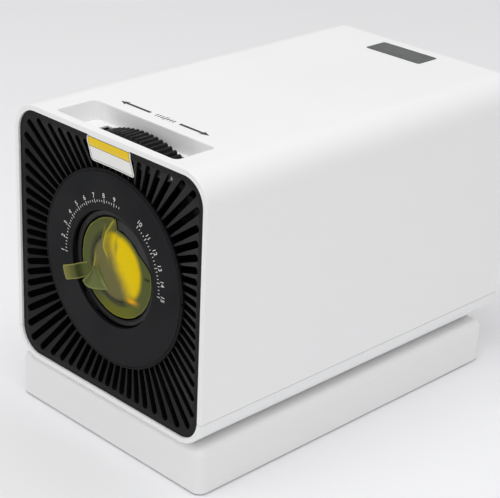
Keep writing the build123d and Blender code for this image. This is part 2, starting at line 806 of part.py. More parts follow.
# ================================================================ lens barrel and glass
barrel_bore = barrel_radius - barrel_wall
barrel_rear = barrel_front + barrel_length
seat_front = lens_ring_front + lens_ring_thick
front_glass_rear = seat_front + front_glass_edge
stop_bore = front_glass_radius - front_ledge
middle_stop = (front_glass_rear + barrel_rear) / 2 - middle_forward
middle_front = middle_stop + middle_ledge
middle_rear = middle_front + middle_glass_edge + middle_ledge
middle_seat = middle_glass_radius + glass_gap
middle_bore = middle_glass_radius - middle_ledge
rear_glass_front = barrel_rear - rear_glass_edge - rear_glass_sink
rear_ring_front = rear_glass_front + rear_glass_edge
rear_ring_rear = barrel_rear - rear_ring_sink
front_seat = front_glass_radius + glass_gap
rear_seat = rear_glass_radius + glass_gap
barrel = turned([
    (barrel_radius, barrel_front), (barrel_radius, barrel_rear), (rear_seat, barrel_rear),
    (rear_seat, rear_glass_front), (stop_bore, rear_glass_front), (stop_bore, middle_rear),
    (middle_seat, middle_rear), (middle_seat, middle_front),
    (middle_bore, middle_front), (middle_bore, middle_stop), (stop_bore, middle_stop),
    (stop_bore, front_glass_rear), (front_seat, front_glass_rear), (front_seat, seat_front),
    (barrel_bore, seat_front), (barrel_bore, barrel_front + barrel_break),
    (barrel_bore + barrel_break, barrel_front)])
pin_root = barrel_radius - pin_sink
pin_tip = hub_out - pin_short
pins = []
for index in range(pin_count):
    turn = 360 / pin_count * index + 90
    pin_hole = rod_x(pin_radius + pin_press, pin_root, 2 * barrel_radius, at(pin_depth), axis_z)
    pin = rod_x(pin_radius, pin_root, pin_tip, at(pin_depth), axis_z)
    barrel -= pin_hole.rotate(Axis((0, 0, axis_z), (0, 1, 0)), turn)
    pins.append(pin.rotate(Axis((0, 0, axis_z), (0, 1, 0)), turn))
save("lens_barrel", barrel)
save("focus_pins", group(pins))

lens_ring_radius = barrel_bore - glass_gap
lens_ring = turned([(lens_ring_bore, lens_ring_front), (barrel_bore - lens_ring_bevel[0], lens_ring_front),
                    (lens_ring_radius, lens_ring_front + lens_ring_bevel[1]), (lens_ring_radius, seat_front),
                    (lens_ring_bore + lens_ring_relief[0], seat_front),
                    (lens_ring_bore, lens_ring_front + lens_ring_relief[1])])
for turn in notch_turns:
    notch = block(lens_ring_bore - 1, lens_ring_bore + notch_reach, at(lens_ring_front - 1),
                  at(lens_ring_front + notch_deep), axis_z - notch_width / 2, axis_z + notch_width / 2)
    lens_ring -= notch.rotate(Axis((0, 0, axis_z), (0, -1, 0)), turn)
save("lens_retaining_ring", lens_ring)
save("front_lens", glass(front_glass_radius, glass_rim, seat_front, front_glass_edge, front_glass_bulge, 1.5))
save("middle_lens", glass(middle_glass_radius, middle_rim, middle_front, middle_glass_edge, -1.0, 3.0))
rear_lens = glass(rear_glass_radius, rear_glass_rim, rear_glass_front, rear_glass_edge, 3.0, rear_glass_bulge)
save("rear_lens", rear_lens)
rear_ring_bore = rear_glass_radius - rear_glass_rim + rear_ring_lap
save("rear_retaining_ring", turned([
    (rear_ring_bore, rear_ring_front), (rear_glass_radius, rear_ring_front),
    (rear_glass_radius, rear_ring_rear), (rear_ring_bore, rear_ring_rear)]))

film_rear = lens_ring_front
film_front = film_rear - film_thick
tab_rear = bezel_depth - slide_gap
tab_front = tab_rear - film_thick
tab_bend = (bezel_bore + barrel_radius) / 2
tab_start = film_radius - 2.0
tab_side = Polyline(
    (tab_start, at(film_front)), (tab_bend, at(tab_front)), (film_tab_reach, at(tab_front)),
    (film_tab_reach, at(tab_rear)), (tab_bend, at(tab_rear)), (tab_start, at(film_rear)), close=True)
tab = Pos(0, 0, axis_z - film_tab_width / 2) * extrude(make_face(tab_side), film_tab_width)
film = rod_y(film_radius, at(film_front), at(film_rear))
film -= rod_y(lens_ring_bore, at(film_front - 1), at(film_rear + 1))
film += tab.rotate(Axis((0, 0, axis_z), (0, -1, 0)), film_tab_angle)
save("lens_film", film)

# ================================================================ light tunnel
tunnel_half = tunnel_width / 2
tunnel_out = tunnel_half + tunnel_wall
tunnel_top_z = axis_z + tunnel_height / 2
tunnel_end = tunnel_rear + tunnel_end_wall
tunnel = block(-tunnel_out, tunnel_out, at(plate_rear), at(tunnel_end), tunnel_low_z, tunnel_top_z)
tunnel_floor_z = axis_z - tunnel_height / 2
tunnel -= block(-tunnel_half, tunnel_half, at(plate_rear - 1), at(tunnel_rear), tunnel_floor_z, far)
tunnel -= rod_y(lamp_window_radius, at(tunnel_rear - 1), at(tunnel_end + 1))
sheets = {
    "front_field_lens": (front_field_at, sheet_thick),
    "lcd_panel": (lcd_at, lcd_thick),
    "rear_field_lens": (rear_field_at, sheet_thick),
    "heat_glass": (heat_glass_at, heat_glass_thick),
    "condenser_holder": (holder_at, holder_thick),
}
groove_half = tunnel_half + groove_depth
sheet_half = groove_half - groove_gap
groove_low = tunnel_floor_z - groove_depth
for depth, thick in sheets.values():
    tunnel -= block(-groove_half, groove_half, at(depth - groove_gap), at(depth + thick + groove_gap),
                    groove_low, far)
for x, y in leg_places:
    side = math.copysign(1, x)
    x0, x1 = sorted((side * (tunnel_out - tunnel_wall / 2), x))
    tunnel += block(x0, x1, y - tunnel_leg_radius, y + tunnel_leg_radius, ear_z, ear_z + tunnel_ear_thick)
    tunnel += rod_z(tunnel_leg_radius, ear_z, ear_z + tunnel_ear_thick, x, y)
    tunnel -= rod_z(screw_radius + screw_gap, ear_z - 1, ear_z + tunnel_ear_thick + 1, x, y)
save("light_tunnel", tunnel)
main_board_z = axis_z + main_board_rise
cover_top = tunnel_top_z + tunnel_wall
board_y1 = at(panel_front) - board_setback
board_y0 = board_y1 - main_board_length
cover = block(-tunnel_out, tunnel_out, at(plate_rear), at(tunnel_end), tunnel_top_z, cover_top)
board_posts = [(sx * (tunnel_out - cover_post_side), y) for sx in (-1, 1)
               for y in (board_y0 + cover_post_end, at(tunnel_end) - cover_post_end)]
for x, y in board_posts:
    cover += rod_z(post_radius, tunnel_top_z, main_board_z, x, y)
    cover -= rod_z(screw_radius + screw_gap, tunnel_top_z + cover_skin, main_board_z + 1, x, y)
save("tunnel_cover", cover)
ear_top = ear_z + tunnel_ear_thick
leg_bite = 8.0
housing_screws += [screw_down(ear_top, ear_z - leg_bite, x, y) for x, y in leg_places]

field_lenses = []
for node, (depth, thick) in sheets.items():
    sheet = block(-sheet_half, sheet_half, at(depth), at(depth + thick), groove_low + groove_gap,
                  tunnel_top_z - groove_gap)
    if node == "condenser_holder":
        sheet -= rod_y(condenser_radius + glass_gap, at(depth - 1), at(depth + thick + 1))
    if node.endswith("field_lens"):
        field_lenses.append(sheet)
    else:
        save(node, sheet)
save("field_lenses", group(field_lenses))
save("condenser_lens", glass(condenser_radius, condenser_rim, holder_at, holder_thick, condenser_bulge, 3.0))

# ================================================================ lamp, heat sink and fan
sink_front = tunnel_end
sink_half = sink_size / 2
sink = block(-sink_half, sink_half, at(sink_front), at(sink_front + sink_base),
             axis_z - sink_half, axis_z + sink_half)
fin_step = (sink_size - fin_thick) / (fin_count - 1)
for index in range(fin_count):
    x = -sink_half + fin_thick / 2 + index * fin_step
    sink += block(x - fin_thick / 2, x + fin_thick / 2, at(sink_front + sink_base),
                  at(sink_front + sink_base + fin_length), axis_z - sink_half, axis_z + sink_half)
save("heat_sink", sink)
led = block(-led_size / 2, led_size / 2, at(sink_front - led_thick), at(sink_front),
            axis_z - led_size / 2, axis_z + led_size / 2)
led += rod_y(led_dome_radius, at(sink_front - led_thick - led_dome), at(sink_front - led_thick))
save("led_module", led)

fan_front = panel_front - fan_thick
frame = tube_y(fan_size, fan_size, fan_corner, at(fan_front), at(panel_front))
frame -= rod_y(fan_bore, at(fan_front - 1), at(panel_front + 1))
strut = block(-fan_bore - 1, fan_bore + 1, at(panel_front - fan_back), at(panel_front),
              axis_z - fan_strut / 2, axis_z + fan_strut / 2)
for turn in (45, 135):
    frame += strut.rotate(Axis((0, 0, axis_z), (0, 1, 0)), turn)
frame += rod_y(fan_hub, at(panel_front - fan_back), at(panel_front))
frame += rod_y(fan_shaft + fan_bearing_wall, at(panel_front - fan_back - fan_bearing), at(panel_front))
frame -= rod_y(fan_shaft + run_gap, at(panel_front - fan_back - fan_bearing - 1), at(panel_front - fan_clear))
fan_hole = fan_size / 2 - fan_hole_inset
fan_holes = [(sx * fan_hole, axis_z + sz * fan_hole) for sx in (-1, 1) for sz in (-1, 1)]
for x, z in fan_holes:
    frame -= rod_y(screw_radius + screw_gap, at(fan_front - 1), at(panel_front + 1), x, z)
save("fan_frame", frame)
rotor_front = fan_front + fan_clear
rotor_rear = panel_front - fan_back - fan_clear
rotor = rod_y(fan_hub, at(rotor_front), at(rotor_rear))
rotor -= rod_y(fan_hub - fan_cup_wall, at(rotor_front + fan_cup_wall), at(rotor_rear + 1))
rotor += rod_y(fan_shaft, at(rotor_front), at(panel_front - fan_shaft_end))
blade_root = fan_hub - fan_cup_wall / 2
blade_length = fan_bore - blade_gap - blade_root
for index in range(fan_blades):
    blade = Box(blade_length, blade_thick, (rotor_rear - rotor_front) * blade_spill)
    blade = Pos(blade_root + blade_length / 2, 0, 0) * Rot(90 + blade_pitch, 0, 0) * blade
    blade = Pos(0, at((rotor_front + rotor_rear) / 2), axis_z) * blade
    rotor += blade.rotate(Axis((0, 0, axis_z), (0, 1, 0)), 360 / fan_blades * index)
rotor &= rod_y(fan_bore - blade_gap, at(rotor_front), at(panel_front))
save("fan_rotor", rotor)

# ================================================================ rear panel
panel_half = half_in_x - panel_gap
panel = tube_y(2 * panel_half, 2 * panel_half, inner_corner - panel_gap, at(panel_front), at(panel_rear))
vents = []
row_count = int(vent_radius // vent_pitch)
for row in range(-row_count, row_count + 1):
    rise = row * vent_pitch
    half = math.sqrt(vent_radius ** 2 - rise ** 2)
    vents.append(tube_y(2 * half, vent_slot, vent_slot / 2 - 0.01, at(panel_front - 1), at(panel_rear + 1),
                        0, axis_z + rise))
panel -= vents
speaker_z = axis_z - speaker_drop
holes = []
hole_count = int((speaker_radius - speaker_margin) // speaker_pitch) + 1
for column in range(-hole_count, hole_count + 1):
    for row in range(-hole_count, hole_count + 1):
        if math.hypot(column, row) * speaker_pitch <= speaker_radius - speaker_margin:
            for side in (-1, 1):
                holes.append(rod_y(speaker_hole, at(panel_front - 1), at(panel_rear + 1),
                                   side * speaker_x + column * speaker_pitch, speaker_z + row * speaker_pitch))
panel -= holes
for x, z in fan_holes:
    panel -= rod_y(screw_radius + screw_gap, at(panel_front - 1), at(panel_rear + 1), x, z)
for x, z in corner_places:
    panel -= rod_y(screw_radius + screw_gap, at(panel_front - 1), at(panel_rear + 1), x, axis_z + z)
socket_z = main_board_z + board_thick


def opening(size, x, z_low):
    """A socket's hole in the rear panel."""
    half = size[0] / 2 + panel_gap
    return block(x - half, x + half, at(panel_front - 1), at(panel_rear + 1),
                 z_low - panel_gap, z_low + size[2] + panel_gap)


panel -= opening(video_size, video_x, socket_z)
panel -= opening(data_size, data_x, socket_z)
audio_z = socket_z + audio_size[2] / 2
panel -= rod_y(audio_nose + panel_gap, at(panel_front - 1), at(panel_rear + 1), audio_x, audio_z)
ir_z = socket_z + ir_radius + ir_rise
panel -= rod_y(ir_radius + screw_gap, at(panel_front - 1), at(panel_rear + 1), ir_x, ir_z)
inlet_z = floor_z + inlet_rise
panel -= opening(inlet_size, 0, inlet_z - inlet_size[2] / 2)
key_rows = {"power_button": axis_z + key_pitch / 2, "source_button": axis_z - key_pitch / 2}
for z in key_rows.values():
    panel -= rod_y(key_radius + panel_gap, at(panel_front - 1), at(panel_rear + 1), key_x, z)
key_flange_rear = panel_front - slide_gap
stem_front = key_flange_rear - key_flange_thick - key_stem
switch_rear = stem_front - key_travel - slide_gap
key_board_rear = switch_rear - switch_height
key_board_front = key_board_rear - key_board_thick
key_post_rise = 1.25 * key_pitch
key_posts = [(key_x, axis_z + sz * key_post_rise) for sz in (-1, 1)]
for x, z in key_posts:
    panel += rod_y(key_post_radius, at(key_board_rear), at(panel_front), x, z)
save("rear_panel", panel)
housing_screws += [screw_y(at(panel_rear), at(panel_front - boss_length + blind_end), x, axis_z + z)
                   for x, z in corner_places]
housing_screws += [screw_y(at(panel_rear), at(fan_front + blind_end), x, z) for x, z in fan_holes]

key_board_reach = key_post_rise + key_board_end
key_board = block(key_x - key_board_width / 2, key_x + key_board_width / 2, at(key_board_front),
                  at(key_board_rear), axis_z - key_board_reach, axis_z + key_board_reach)
for z in key_rows.values():
    key_board += block(key_x - switch_size / 2, key_x + switch_size / 2, at(key_board_rear), at(switch_rear),
                       z - switch_size / 2, z + switch_size / 2)
save("key_board", key_board)
for node, z in key_rows.items():
    key = rod_y(key_radius, at(key_flange_rear - key_flange_thick), at(panel_rear + key_proud), key_x, z)
    rim = key.faces().sort_by(Axis.Y)[-1].edges()
    key = fillet(rim, key_round)
    key += rod_y(key_radius + key_flange, at(key_flange_rear - key_flange_thick), at(key_flange_rear), key_x, z)
    key += rod_y(key_stem_radius, at(stem_front), at(key_flange_rear), key_x, z)
    save(node, key)

# ================================================================ boards, sockets, speakers
board = block(-main_board_width / 2, main_board_width / 2, board_y0, board_y1, main_board_z, socket_z)
for x, y in board_posts:
    board -= rod_z(screw_radius + screw_gap, main_board_z - 1, socket_z + 1, x, y)


def on_board(x, y, width, length, z, height):
    """A block that stands on a board, about its middle."""
    return block(x - width / 2, x + width / 2, y - length / 2, y + length / 2, z, z + height)


# The four capacitors and the relay stand for what a board carries; their places are not critical.
chip_y = board_y0 + chip_at
cooler_z = socket_z + chip_thick
fins_width = cooler_size - 2.0
fins_z = cooler_z + cooler_base
board += on_board(0, chip_y, chip_size, chip_size, socket_z, chip_thick)
board += on_board(0, chip_y, cooler_size, cooler_size, cooler_z, cooler_base)
for index in range(cooler_fins):
    x = fins_width * (index / (cooler_fins - 1) - 0.5)
    board += on_board(x, chip_y, cooler_fin_thick, cooler_size, fins_z, cooler_height - cooler_base)
capacitor_radius = 4.0
capacitor_height = 9.0
for x, y in ((30, -24), (38, -6), (-34, -30), (-46, 0)):
    board += rod_z(capacitor_radius, socket_z, socket_z + capacitor_height, x, chip_y + y)
relay_size = (28.0, 14.0, 5.0)
board += on_board(38, board_y1 - 37, relay_size[0], relay_size[1], socket_z, relay_size[2])
save("main_board", board)
board_bite = 4.0
housing_screws += [screw_down(socket_z, main_board_z - board_bite, x, y) for x, y in board_posts]
save("housing_screws", group(housing_screws))

power = block(-power_board_width / 2, power_board_width / 2, at(power_board_start),
              at(power_board_start + power_board_length), power_z, power_z + board_thick)
power_top = power_z + board_thick
transformer_size = (28.0, 30.0, 13.0)
cooling_plate_size = (26.0, 4.0, 12.0)
mains_capacitor_radius = 6.0
mains_capacitor_height = 12.0
for x, y, size in ((-16, 65, transformer_size), (21, 32, cooling_plate_size)):
    power += on_board(x, at(power_board_start + y), size[0], size[1], power_top, size[2])
for x, y in ((18, 62), (34, 62), (-20, 20), (-36, 20), (28, 100), (-30, 104)):
    power += rod_z(mains_capacitor_radius, power_top, power_top + mains_capacitor_height,
                   x, at(power_board_start + y))
save("power_board", power)


def hollow_socket(size, x, z_low, tongue):
    """A sheet-metal socket with an open mouth at the rear and a tongue in it."""
    y0, y1 = at(panel_rear) - size[1], at(panel_rear)
    shell = block(x - size[0] / 2, x + size[0] / 2, y0, y1, z_low, z_low + size[2])
    mouth = block(x - size[0] / 2 + socket_wall, x + size[0] / 2 - socket_wall, y0 + socket_back, y1 + 1,
                  z_low + socket_wall, z_low + size[2] - socket_wall)
    middle = z_low + size[2] / 2
    return shell - mouth + block(x - tongue / 2, x + tongue / 2, y0, y1 - tongue_sink,
                                 middle - tongue_thick / 2, middle + tongue_thick / 2)


save("video_socket", hollow_socket(video_size, video_x, socket_z, 11.0))
save("data_socket", hollow_socket(data_size, data_x, socket_z, 11.5))
audio = block(audio_x - audio_size[0] / 2, audio_x + audio_size[0] / 2, at(panel_front - audio_size[1]),
              at(panel_front) - panel_gap, socket_z, socket_z + audio_size[2])
audio += rod_y(audio_nose, at(panel_front) - 1, at(panel_rear), audio_x, audio_z)
audio -= rod_y(audio_bore, at(panel_front - audio_size[1] + audio_end), at(panel_rear + 1), audio_x, audio_z)
save("audio_socket", audio)
inlet_half_x = inlet_size[0] / 2
inlet_half_z = inlet_size[2] / 2
inlet_out, inlet_flange_thick = inlet_flange
inlet_deep = at(panel_rear - inlet_mouth[1])
inlet = block(-inlet_half_x, inlet_half_x, at(panel_rear - inlet_size[1]), at(panel_rear),
              inlet_z - inlet_half_z, inlet_z + inlet_half_z)
inlet += block(-inlet_half_x - inlet_out, inlet_half_x + inlet_out, at(panel_front - inlet_flange_thick),
               at(panel_front), inlet_z - inlet_half_z - inlet_out, inlet_z + inlet_half_z + inlet_out)
inlet -= tube_y(inlet_mouth[0], inlet_mouth[2], inlet_mouth[2] / 2 - 0.1, inlet_deep, at(panel_rear + 1),
                0, inlet_z)
for side in (-1, 1):
    inlet += rod_y(inlet_pin_radius, inlet_deep, at(panel_rear - inlet_pin_sink),
                   side * inlet_pin_pitch / 2, inlet_z)
save("power_inlet", inlet)
infrared_window = rod_y(ir_radius, at(panel_front - 1), at(panel_rear), ir_x, ir_z)
infrared_window += rod_y(ir_radius + ir_flange, at(panel_front - 2), at(panel_front), ir_x, ir_z)
save("infrared_window", infrared_window)

speakers = []
for x in (-speaker_x, speaker_x):
    basket = rod_y(speaker_radius, at(panel_front - speaker_flange), at(panel_front), x, speaker_z)
    basket -= rod_y(speaker_radius - speaker_rim, at(panel_front - speaker_flange / 2), at(panel_front + 1),
                    x, speaker_z)
    cone_middle = speaker_flange + speaker_cone / 2
    basket += Pos(x, at(panel_front - cone_middle), speaker_z) * Rot(-90, 0, 0) \
        * Cone(speaker_magnet - 0.5, speaker_radius - 1, speaker_cone)
    basket += rod_y(speaker_magnet, at(panel_front - speaker_depth), at(panel_front - cone_middle), x, speaker_z)
    speakers.append(basket)
save("speakers", group(speakers))

# ================================================================ base of the disc player
base_front_y = at(base_setback)
base_rear_y = base_front_y + base_length
base_mid_y = (base_front_y + base_rear_y) / 2
floor_top = base_bottom + base_floor_thick
roof_z = base_top - base_wall
drive_bottom = floor_top + drive_lift
drive_top = drive_bottom + drive_height
drive_x0 = -base_width / 2 + face_thick + panel_gap
drive_x1 = drive_x0 + drive_length
face_z0 = drive_bottom + (drive_height - face_height) / 2
face_z1 = face_z0 + face_height

cover_block = plate_z(base_width, base_length, base_corner, base_bottom, base_top, 0, base_mid_y)
cover_block = fillet(cover_block.faces().sort_by(Axis.Z)[-1].edges(), base_top_round)
cavity_corner = base_corner - base_wall
base_cover = cover_block - plate_z(base_width - 2 * base_wall, base_length - 2 * base_wall, cavity_corner,
                                   base_bottom - 1, roof_z, 0, base_mid_y)
base_cover += plate_z(pad_width, pad_length, pad_corner, base_top - base_wall / 2, body_bottom, 0, base_mid_y)
cover_post_x = base_width / 2 - cover_post_inset
cover_posts = [(sx * cover_post_x, y) for sx in (-1, 1)
               for y in (base_front_y + cover_post_inset, base_rear_y - cover_post_inset)]
cover_posts += [(cover_post_x, base_mid_y)]
post_seat = 1.0        # height of the floor's bosses that the cover's posts stand on
for x, y in cover_posts:
    base_cover += rod_z(boss_radius - 0.5, floor_top + post_seat, roof_z + base_wall / 2, x, y)
    base_cover -= rod_z(screw_radius + screw_gap, floor_top, roof_z, x, y)
for x, y in couple_places:
    base_cover -= rod_z(screw_radius + screw_gap, roof_z - 1, body_bottom + 1, x, y)
face_y0 = base_mid_y - face_width / 2 - panel_gap
face_y1 = base_mid_y + face_width / 2 + panel_gap
base_cover -= block(-base_width / 2 - 1, -base_width / 2 + base_wall + 1, face_y0, face_y1,
                    face_z0 - panel_gap, face_z1 + panel_gap)
save("base_cover", base_cover)
base_screws = [screw_up(roof_z, floor_z + couple_post - blind_end, x, y) for x, y in couple_places]

floor_plate = plate_z(base_width - 2 * base_wall - 2 * panel_gap, base_length - 2 * base_wall - 2 * panel_gap,
                      cavity_corner, base_bottom, floor_top, 0, base_mid_y)
drive_x_mid = (drive_x0 + drive_x1) / 2
screw_seat = screw_head + screw_gap
pad_inset = (9.0, 16.0)
pad_places = [(drive_x_mid + sx * (drive_length / 2 - pad_inset[0]),
               base_mid_y + sy * (drive_width / 2 - pad_inset[1])) for sx in (-1, 1) for sy in (-1, 1)]
for x, y in pad_places:
    floor_plate += rod_z(boss_radius, floor_top - 0.5, drive_bottom, x, y)
    floor_plate -= rod_z(screw_radius + screw_gap, base_bottom - 1, drive_bottom + 1, x, y)
    floor_plate -= rod_z(screw_head_radius + screw_gap, base_bottom - 1, base_bottom + screw_seat, x, y)
for x, y in cover_posts:
    floor_plate += rod_z(boss_radius, floor_top - 0.5, floor_top + post_seat, x, y)
    floor_plate -= rod_z(screw_radius + screw_gap, base_bottom - 1, floor_top + post_seat + 1, x, y)
    floor_plate -= rod_z(screw_head_radius + screw_gap, base_bottom - 1, base_bottom + screw_seat, x, y)
player_board_size = (116.0, 40.0)
player_board_y = base_rear_y - 30.0
player_board_z = floor_top + 4.0
player_post_x = player_board_size[0] / 2 - 8.0
player_post_y = player_board_size[1] / 2 - post_inset
player_posts = [(sx * player_post_x, player_board_y + sy * player_post_y) for sx in (-1, 1) for sy in (-1, 1)]
for x, y in player_posts:
    floor_plate += rod_z(post_radius, floor_top - 0.5, player_board_z, x, y)
foot_places = [(sx * (base_width / 2 - foot_inset), y) for sx in (-1, 1)
               for y in (base_front_y + foot_inset + foot_shift, base_rear_y - foot_inset - foot_shift)]
for x, y in foot_places:
    floor_plate -= rod_z(foot_radius + screw_gap, base_bottom - 1, base_bottom + foot_sink, x, y)
save("base_floor", floor_plate)
feet = []
for x, y in foot_places:
    foot = rod_z(foot_radius, 0, base_bottom + foot_sink, x, y)
    feet.append(fillet(foot.faces().sort_by(Axis.Z)[0].edges(), 0.4))
save("rubber_feet", group(feet))
base_screws += [screw_up(base_bottom + screw_seat, roof_z - 3, x, y) for x, y in cover_posts]

player = on_board(0, player_board_y, *player_board_size, player_board_z, board_thick)
player_top = player_board_z + board_thick
player_chip = (24.0, 24.0)
player_plug = (18.0, 10.0)
player += on_board(0, player_board_y, *player_chip, player_top, 1.6)
for x in (-44, -30, 30):
    player += rod_z(capacitor_radius, player_top, player_top + 10, x, player_board_y)
player += on_board(45, player_board_y - 11, *player_plug, player_top, 6)
save("player_board", player)

# ================================================================ disc drive
chassis_floor = drive_bottom + sheet_steel
lid_bottom = drive_top - sheet_steel
half_drive = drive_width / 2
wall_in = half_drive - sheet_steel
tray_top = lid_bottom - tray_headroom
plate_low = tray_top - tray_plate
tray_half = wall_in - 0.4
rail_z1 = plate_low - slide_gap
rail_z0 = rail_z1 - rail_height
rail_out = wall_in - slide_gap
rail_in = rail_out - rail_width
skirt_outer = rail_in - slide_gap
shelf_z1 = rail_z0 - slide_gap
mid_y = base_mid_y

chassis = block(drive_x0, drive_x1, mid_y - half_drive, mid_y + half_drive, drive_bottom, lid_bottom)
chassis -= block(drive_x0 - 1, drive_x1 - sheet_steel, mid_y - wall_in, mid_y + wall_in,
                 chassis_floor, drive_top)
for side in (-1, 1):
    y0, y1 = sorted((mid_y + side * (skirt_outer + slide_gap), mid_y + side * (half_drive - sheet_steel / 2)))
    chassis += block(drive_x0, drive_x1 - sheet_steel, y0, y1, shelf_z1 - rail_shelf, shelf_z1)
for x, y in pad_places:
    chassis -= rod_z(screw_radius + screw_gap, drive_bottom - 1, chassis_floor + 1, x, y)
save("drive_chassis", chassis)
drive_lid = block(drive_x0, drive_x1, mid_y - half_drive, mid_y + half_drive, lid_bottom, drive_top)
crease_end = 20.0
crease_width = 4.0
drive_lid -= block(drive_x0 + crease_end, drive_x1 - crease_end, mid_y - crease_width / 2,
                   mid_y + crease_width / 2, drive_top - sheet_steel / 2, drive_top + 1)
save("drive_lid", drive_lid)
pad_screw_tip = chassis_floor + sheet_steel
base_screws += [screw_up(base_bottom + screw_seat, pad_screw_tip, x, y) for x, y in pad_places]
save("base_screws", group(base_screws))

# Tray: a moulded plate with a disc recess, side ribs that run beside the rails, and a front lip.
tray_x0 = -base_width / 2 + face_thick
tray_x1 = tray_x0 + tray_length
hub_x = tray_x0 + recess_radius + 0.5
recess_z = tray_top - recess_deep
tray = block(tray_x0, tray_x1, mid_y - tray_half, mid_y + tray_half, plate_low, tray_top)
tray -= rod_z(recess_radius, recess_z, tray_top + 1, hub_x, mid_y)
for side in (-1, 1):
    y0, y1 = sorted((mid_y + side * skirt_inner, mid_y + side * skirt_outer))
    tray += block(tray_x0, tray_x1, y0, y1, rail_z0 - slide_gap, plate_low)
lip_low = rail_z0 - slide_gap
lip_thick_x = 3.0
tray += block(tray_x0, tray_x0 + lip_thick_x, mid_y - skirt_outer, mid_y + skirt_outer, lip_low, plate_low)
button_y = mid_y + eject_y
pocket_half = eject_width / 2 + 3
tray -= block(tray_x0 - 1, tray_x0 + lip_thick_x + 1, button_y - pocket_half, button_y + pocket_half,
              lip_low - 1, plate_low)
tray -= rod_z(hub_flange + 2, plate_low - 1, tray_top, hub_x, mid_y)
finger_radius = 11.0
finger_deep = 0.8
finger_edge = 1.2      # plate left outside the finger hollow
hollow = rod_z(finger_radius, recess_z - finger_deep, tray_top + 1, hub_x, mid_y - recess_radius + 2)
tray -= hollow & block(tray_x0, tray_x1, mid_y - tray_half + finger_edge, mid_y, 0, far)


def along(shape):
    """Put a piece drawn along X on the laser's slanted line, with the disc's axis as origin."""
    return Pos(hub_x, mid_y, 0) * Rot(0, 0, traverse_angle) * shape


window_half = traverse_width / 2 - 0.5
window = along(block(0, traverse_reach - 3, rod_low - 4, window_half, plate_low - 1, tray_top))
tray -= window & rod_z(recess_radius - 0.8, plate_low - 1, tray_top, hub_x, mid_y)
frame_top = plate_low - traverse_drop
frame_low = frame_top - traverse_thick
frame_back = 18.0
hang_side = -traverse_width / 2 - 0.7
hang_places = [(-frame_back + 3, -window_half + 1), (-frame_back + 3, window_half - 3),
               (traverse_reach - 2.5, hang_side), (traverse_reach / 2, hang_side)]
for x, y in hang_places:
    tray += along(rod_z(2.0, frame_top, plate_low + 1, x, y))
save("disc_tray", tray)

face = block(tray_x0 - face_thick, tray_x0, mid_y - face_width / 2, mid_y + face_width / 2, face_z0, face_z1)
face = fillet(face.faces().sort_by(Axis.X)[0].edges(), 0.5)
eject_z = plate_low - slide_gap - eject_height / 2 - eject_below
hole_half_y = eject_width / 2 + panel_gap
hole_half_z = eject_height / 2 + panel_gap
face -= block(tray_x0 - face_thick - 1, tray_x0 + 1, button_y - hole_half_y, button_y + hole_half_y,
              eject_z - hole_half_z, eject_z + hole_half_z)
face -= rod_x(pinhole_radius, tray_x0 - face_thick - 1, tray_x0 + 1, button_y + pinhole_y, eject_z)
save("tray_face", face)

eject_x0 = tray_x0 - face_thick - eject_proud
flange_x0 = tray_x0 + slide_gap
stem_x0 = flange_x0 + eject_flange
stem_x1 = stem_x0 + eject_stem
flange_half = eject_width / 2 + eject_flange
flange_drop = 0.6
button = block(eject_x0, flange_x0, button_y - eject_width / 2, button_y + eject_width / 2,
               eject_z - eject_height / 2, eject_z + eject_height / 2)
button += block(flange_x0, stem_x0, button_y - flange_half, button_y + flange_half,
                eject_z - eject_height / 2 - flange_drop, eject_z + eject_height / 2)
button += block(stem_x0, stem_x1, button_y - eject_stem_width / 2, button_y + eject_stem_width / 2,
                eject_z - 0.8, eject_z + 0.8)
save("eject_button", button)
tray_board_size = (12.0, 18.0, 1.0)
tray_switch = (5.0, 6.0)
switch_x0 = stem_x1 + eject_travel + slide_gap
switch_z1 = plate_low - tray_board_size[2]
tray_board = on_board(switch_x0 + tray_board_size[0] / 2, button_y, tray_board_size[0], tray_board_size[1],
                      switch_z1, tray_board_size[2])
tray_board += on_board(switch_x0 + tray_switch[0] / 2, button_y, *tray_switch, lip_low, switch_z1 - lip_low)
save("tray_board", tray_board)

rail_x0 = tray_x0 + 2.5
rails = []
for side in (-1, 1):
    y0, y1 = sorted((mid_y + side * rail_in, mid_y + side * rail_out))
    rails.append(block(rail_x0, rail_x0 + rail_length, y0, y1, rail_z0, rail_z1))
save("tray_rails", group(rails))

# Traverse under the tray: frame, spindle motor and hub, rods, lead screw, motor and laser pickup.
rod_z_line = frame_top + 2.0
pickup_back = laser_start - 8.5
pickup_front = laser_start + 3.5
bearing_thick = 1.5
bearing_in = pickup_back - bearing_thick - 1
bearing_out = pickup_front + laser_travel + 0.5
frame_cut = block(pickup_back, bearing_out - 1, rod_low + 3.5, rod_high - 3.5, frame_low - 1, frame_top + 1)
traverse = block(-frame_back, traverse_reach, -traverse_width / 2, traverse_width / 2, frame_low, frame_top)
traverse -= frame_cut
bearing_height = rod_z_line + rod_radius + 0.8
for x in (bearing_in, bearing_out):
    for y, radius in ((rod_low, rod_radius), (rod_high, rod_radius), (screw_line, lead_radius)):
        if y == screw_line and x == bearing_in:
            continue
        traverse += block(x, x + bearing_thick, y - 2.2, y + 2.2, frame_top - 0.5, bearing_height)
for y in (rod_low, rod_high):
    traverse -= rod_x(rod_radius + run_gap, bearing_in - 1, bearing_out + 1.4, y, rod_z_line)
traverse -= rod_x(lead_radius + run_gap, bearing_out - 1, bearing_out + 3, screw_line, rod_z_line)
traverse -= rod_z(spindle_radius + 1, frame_low - 1, frame_top + 1)
save("traverse_frame", along(traverse))
rods = [along(rod_x(rod_radius, bearing_in, bearing_out + 1.4, y, rod_z_line)) for y in (rod_low, rod_high)]
save("guide_rods", group(rods))
motor_top = plate_low - slide_gap
spindle = rod_z(spindle_motor_radius, frame_top, motor_top)
spindle -= rod_z(spindle_radius + run_gap, frame_top + 1, motor_top + 1)
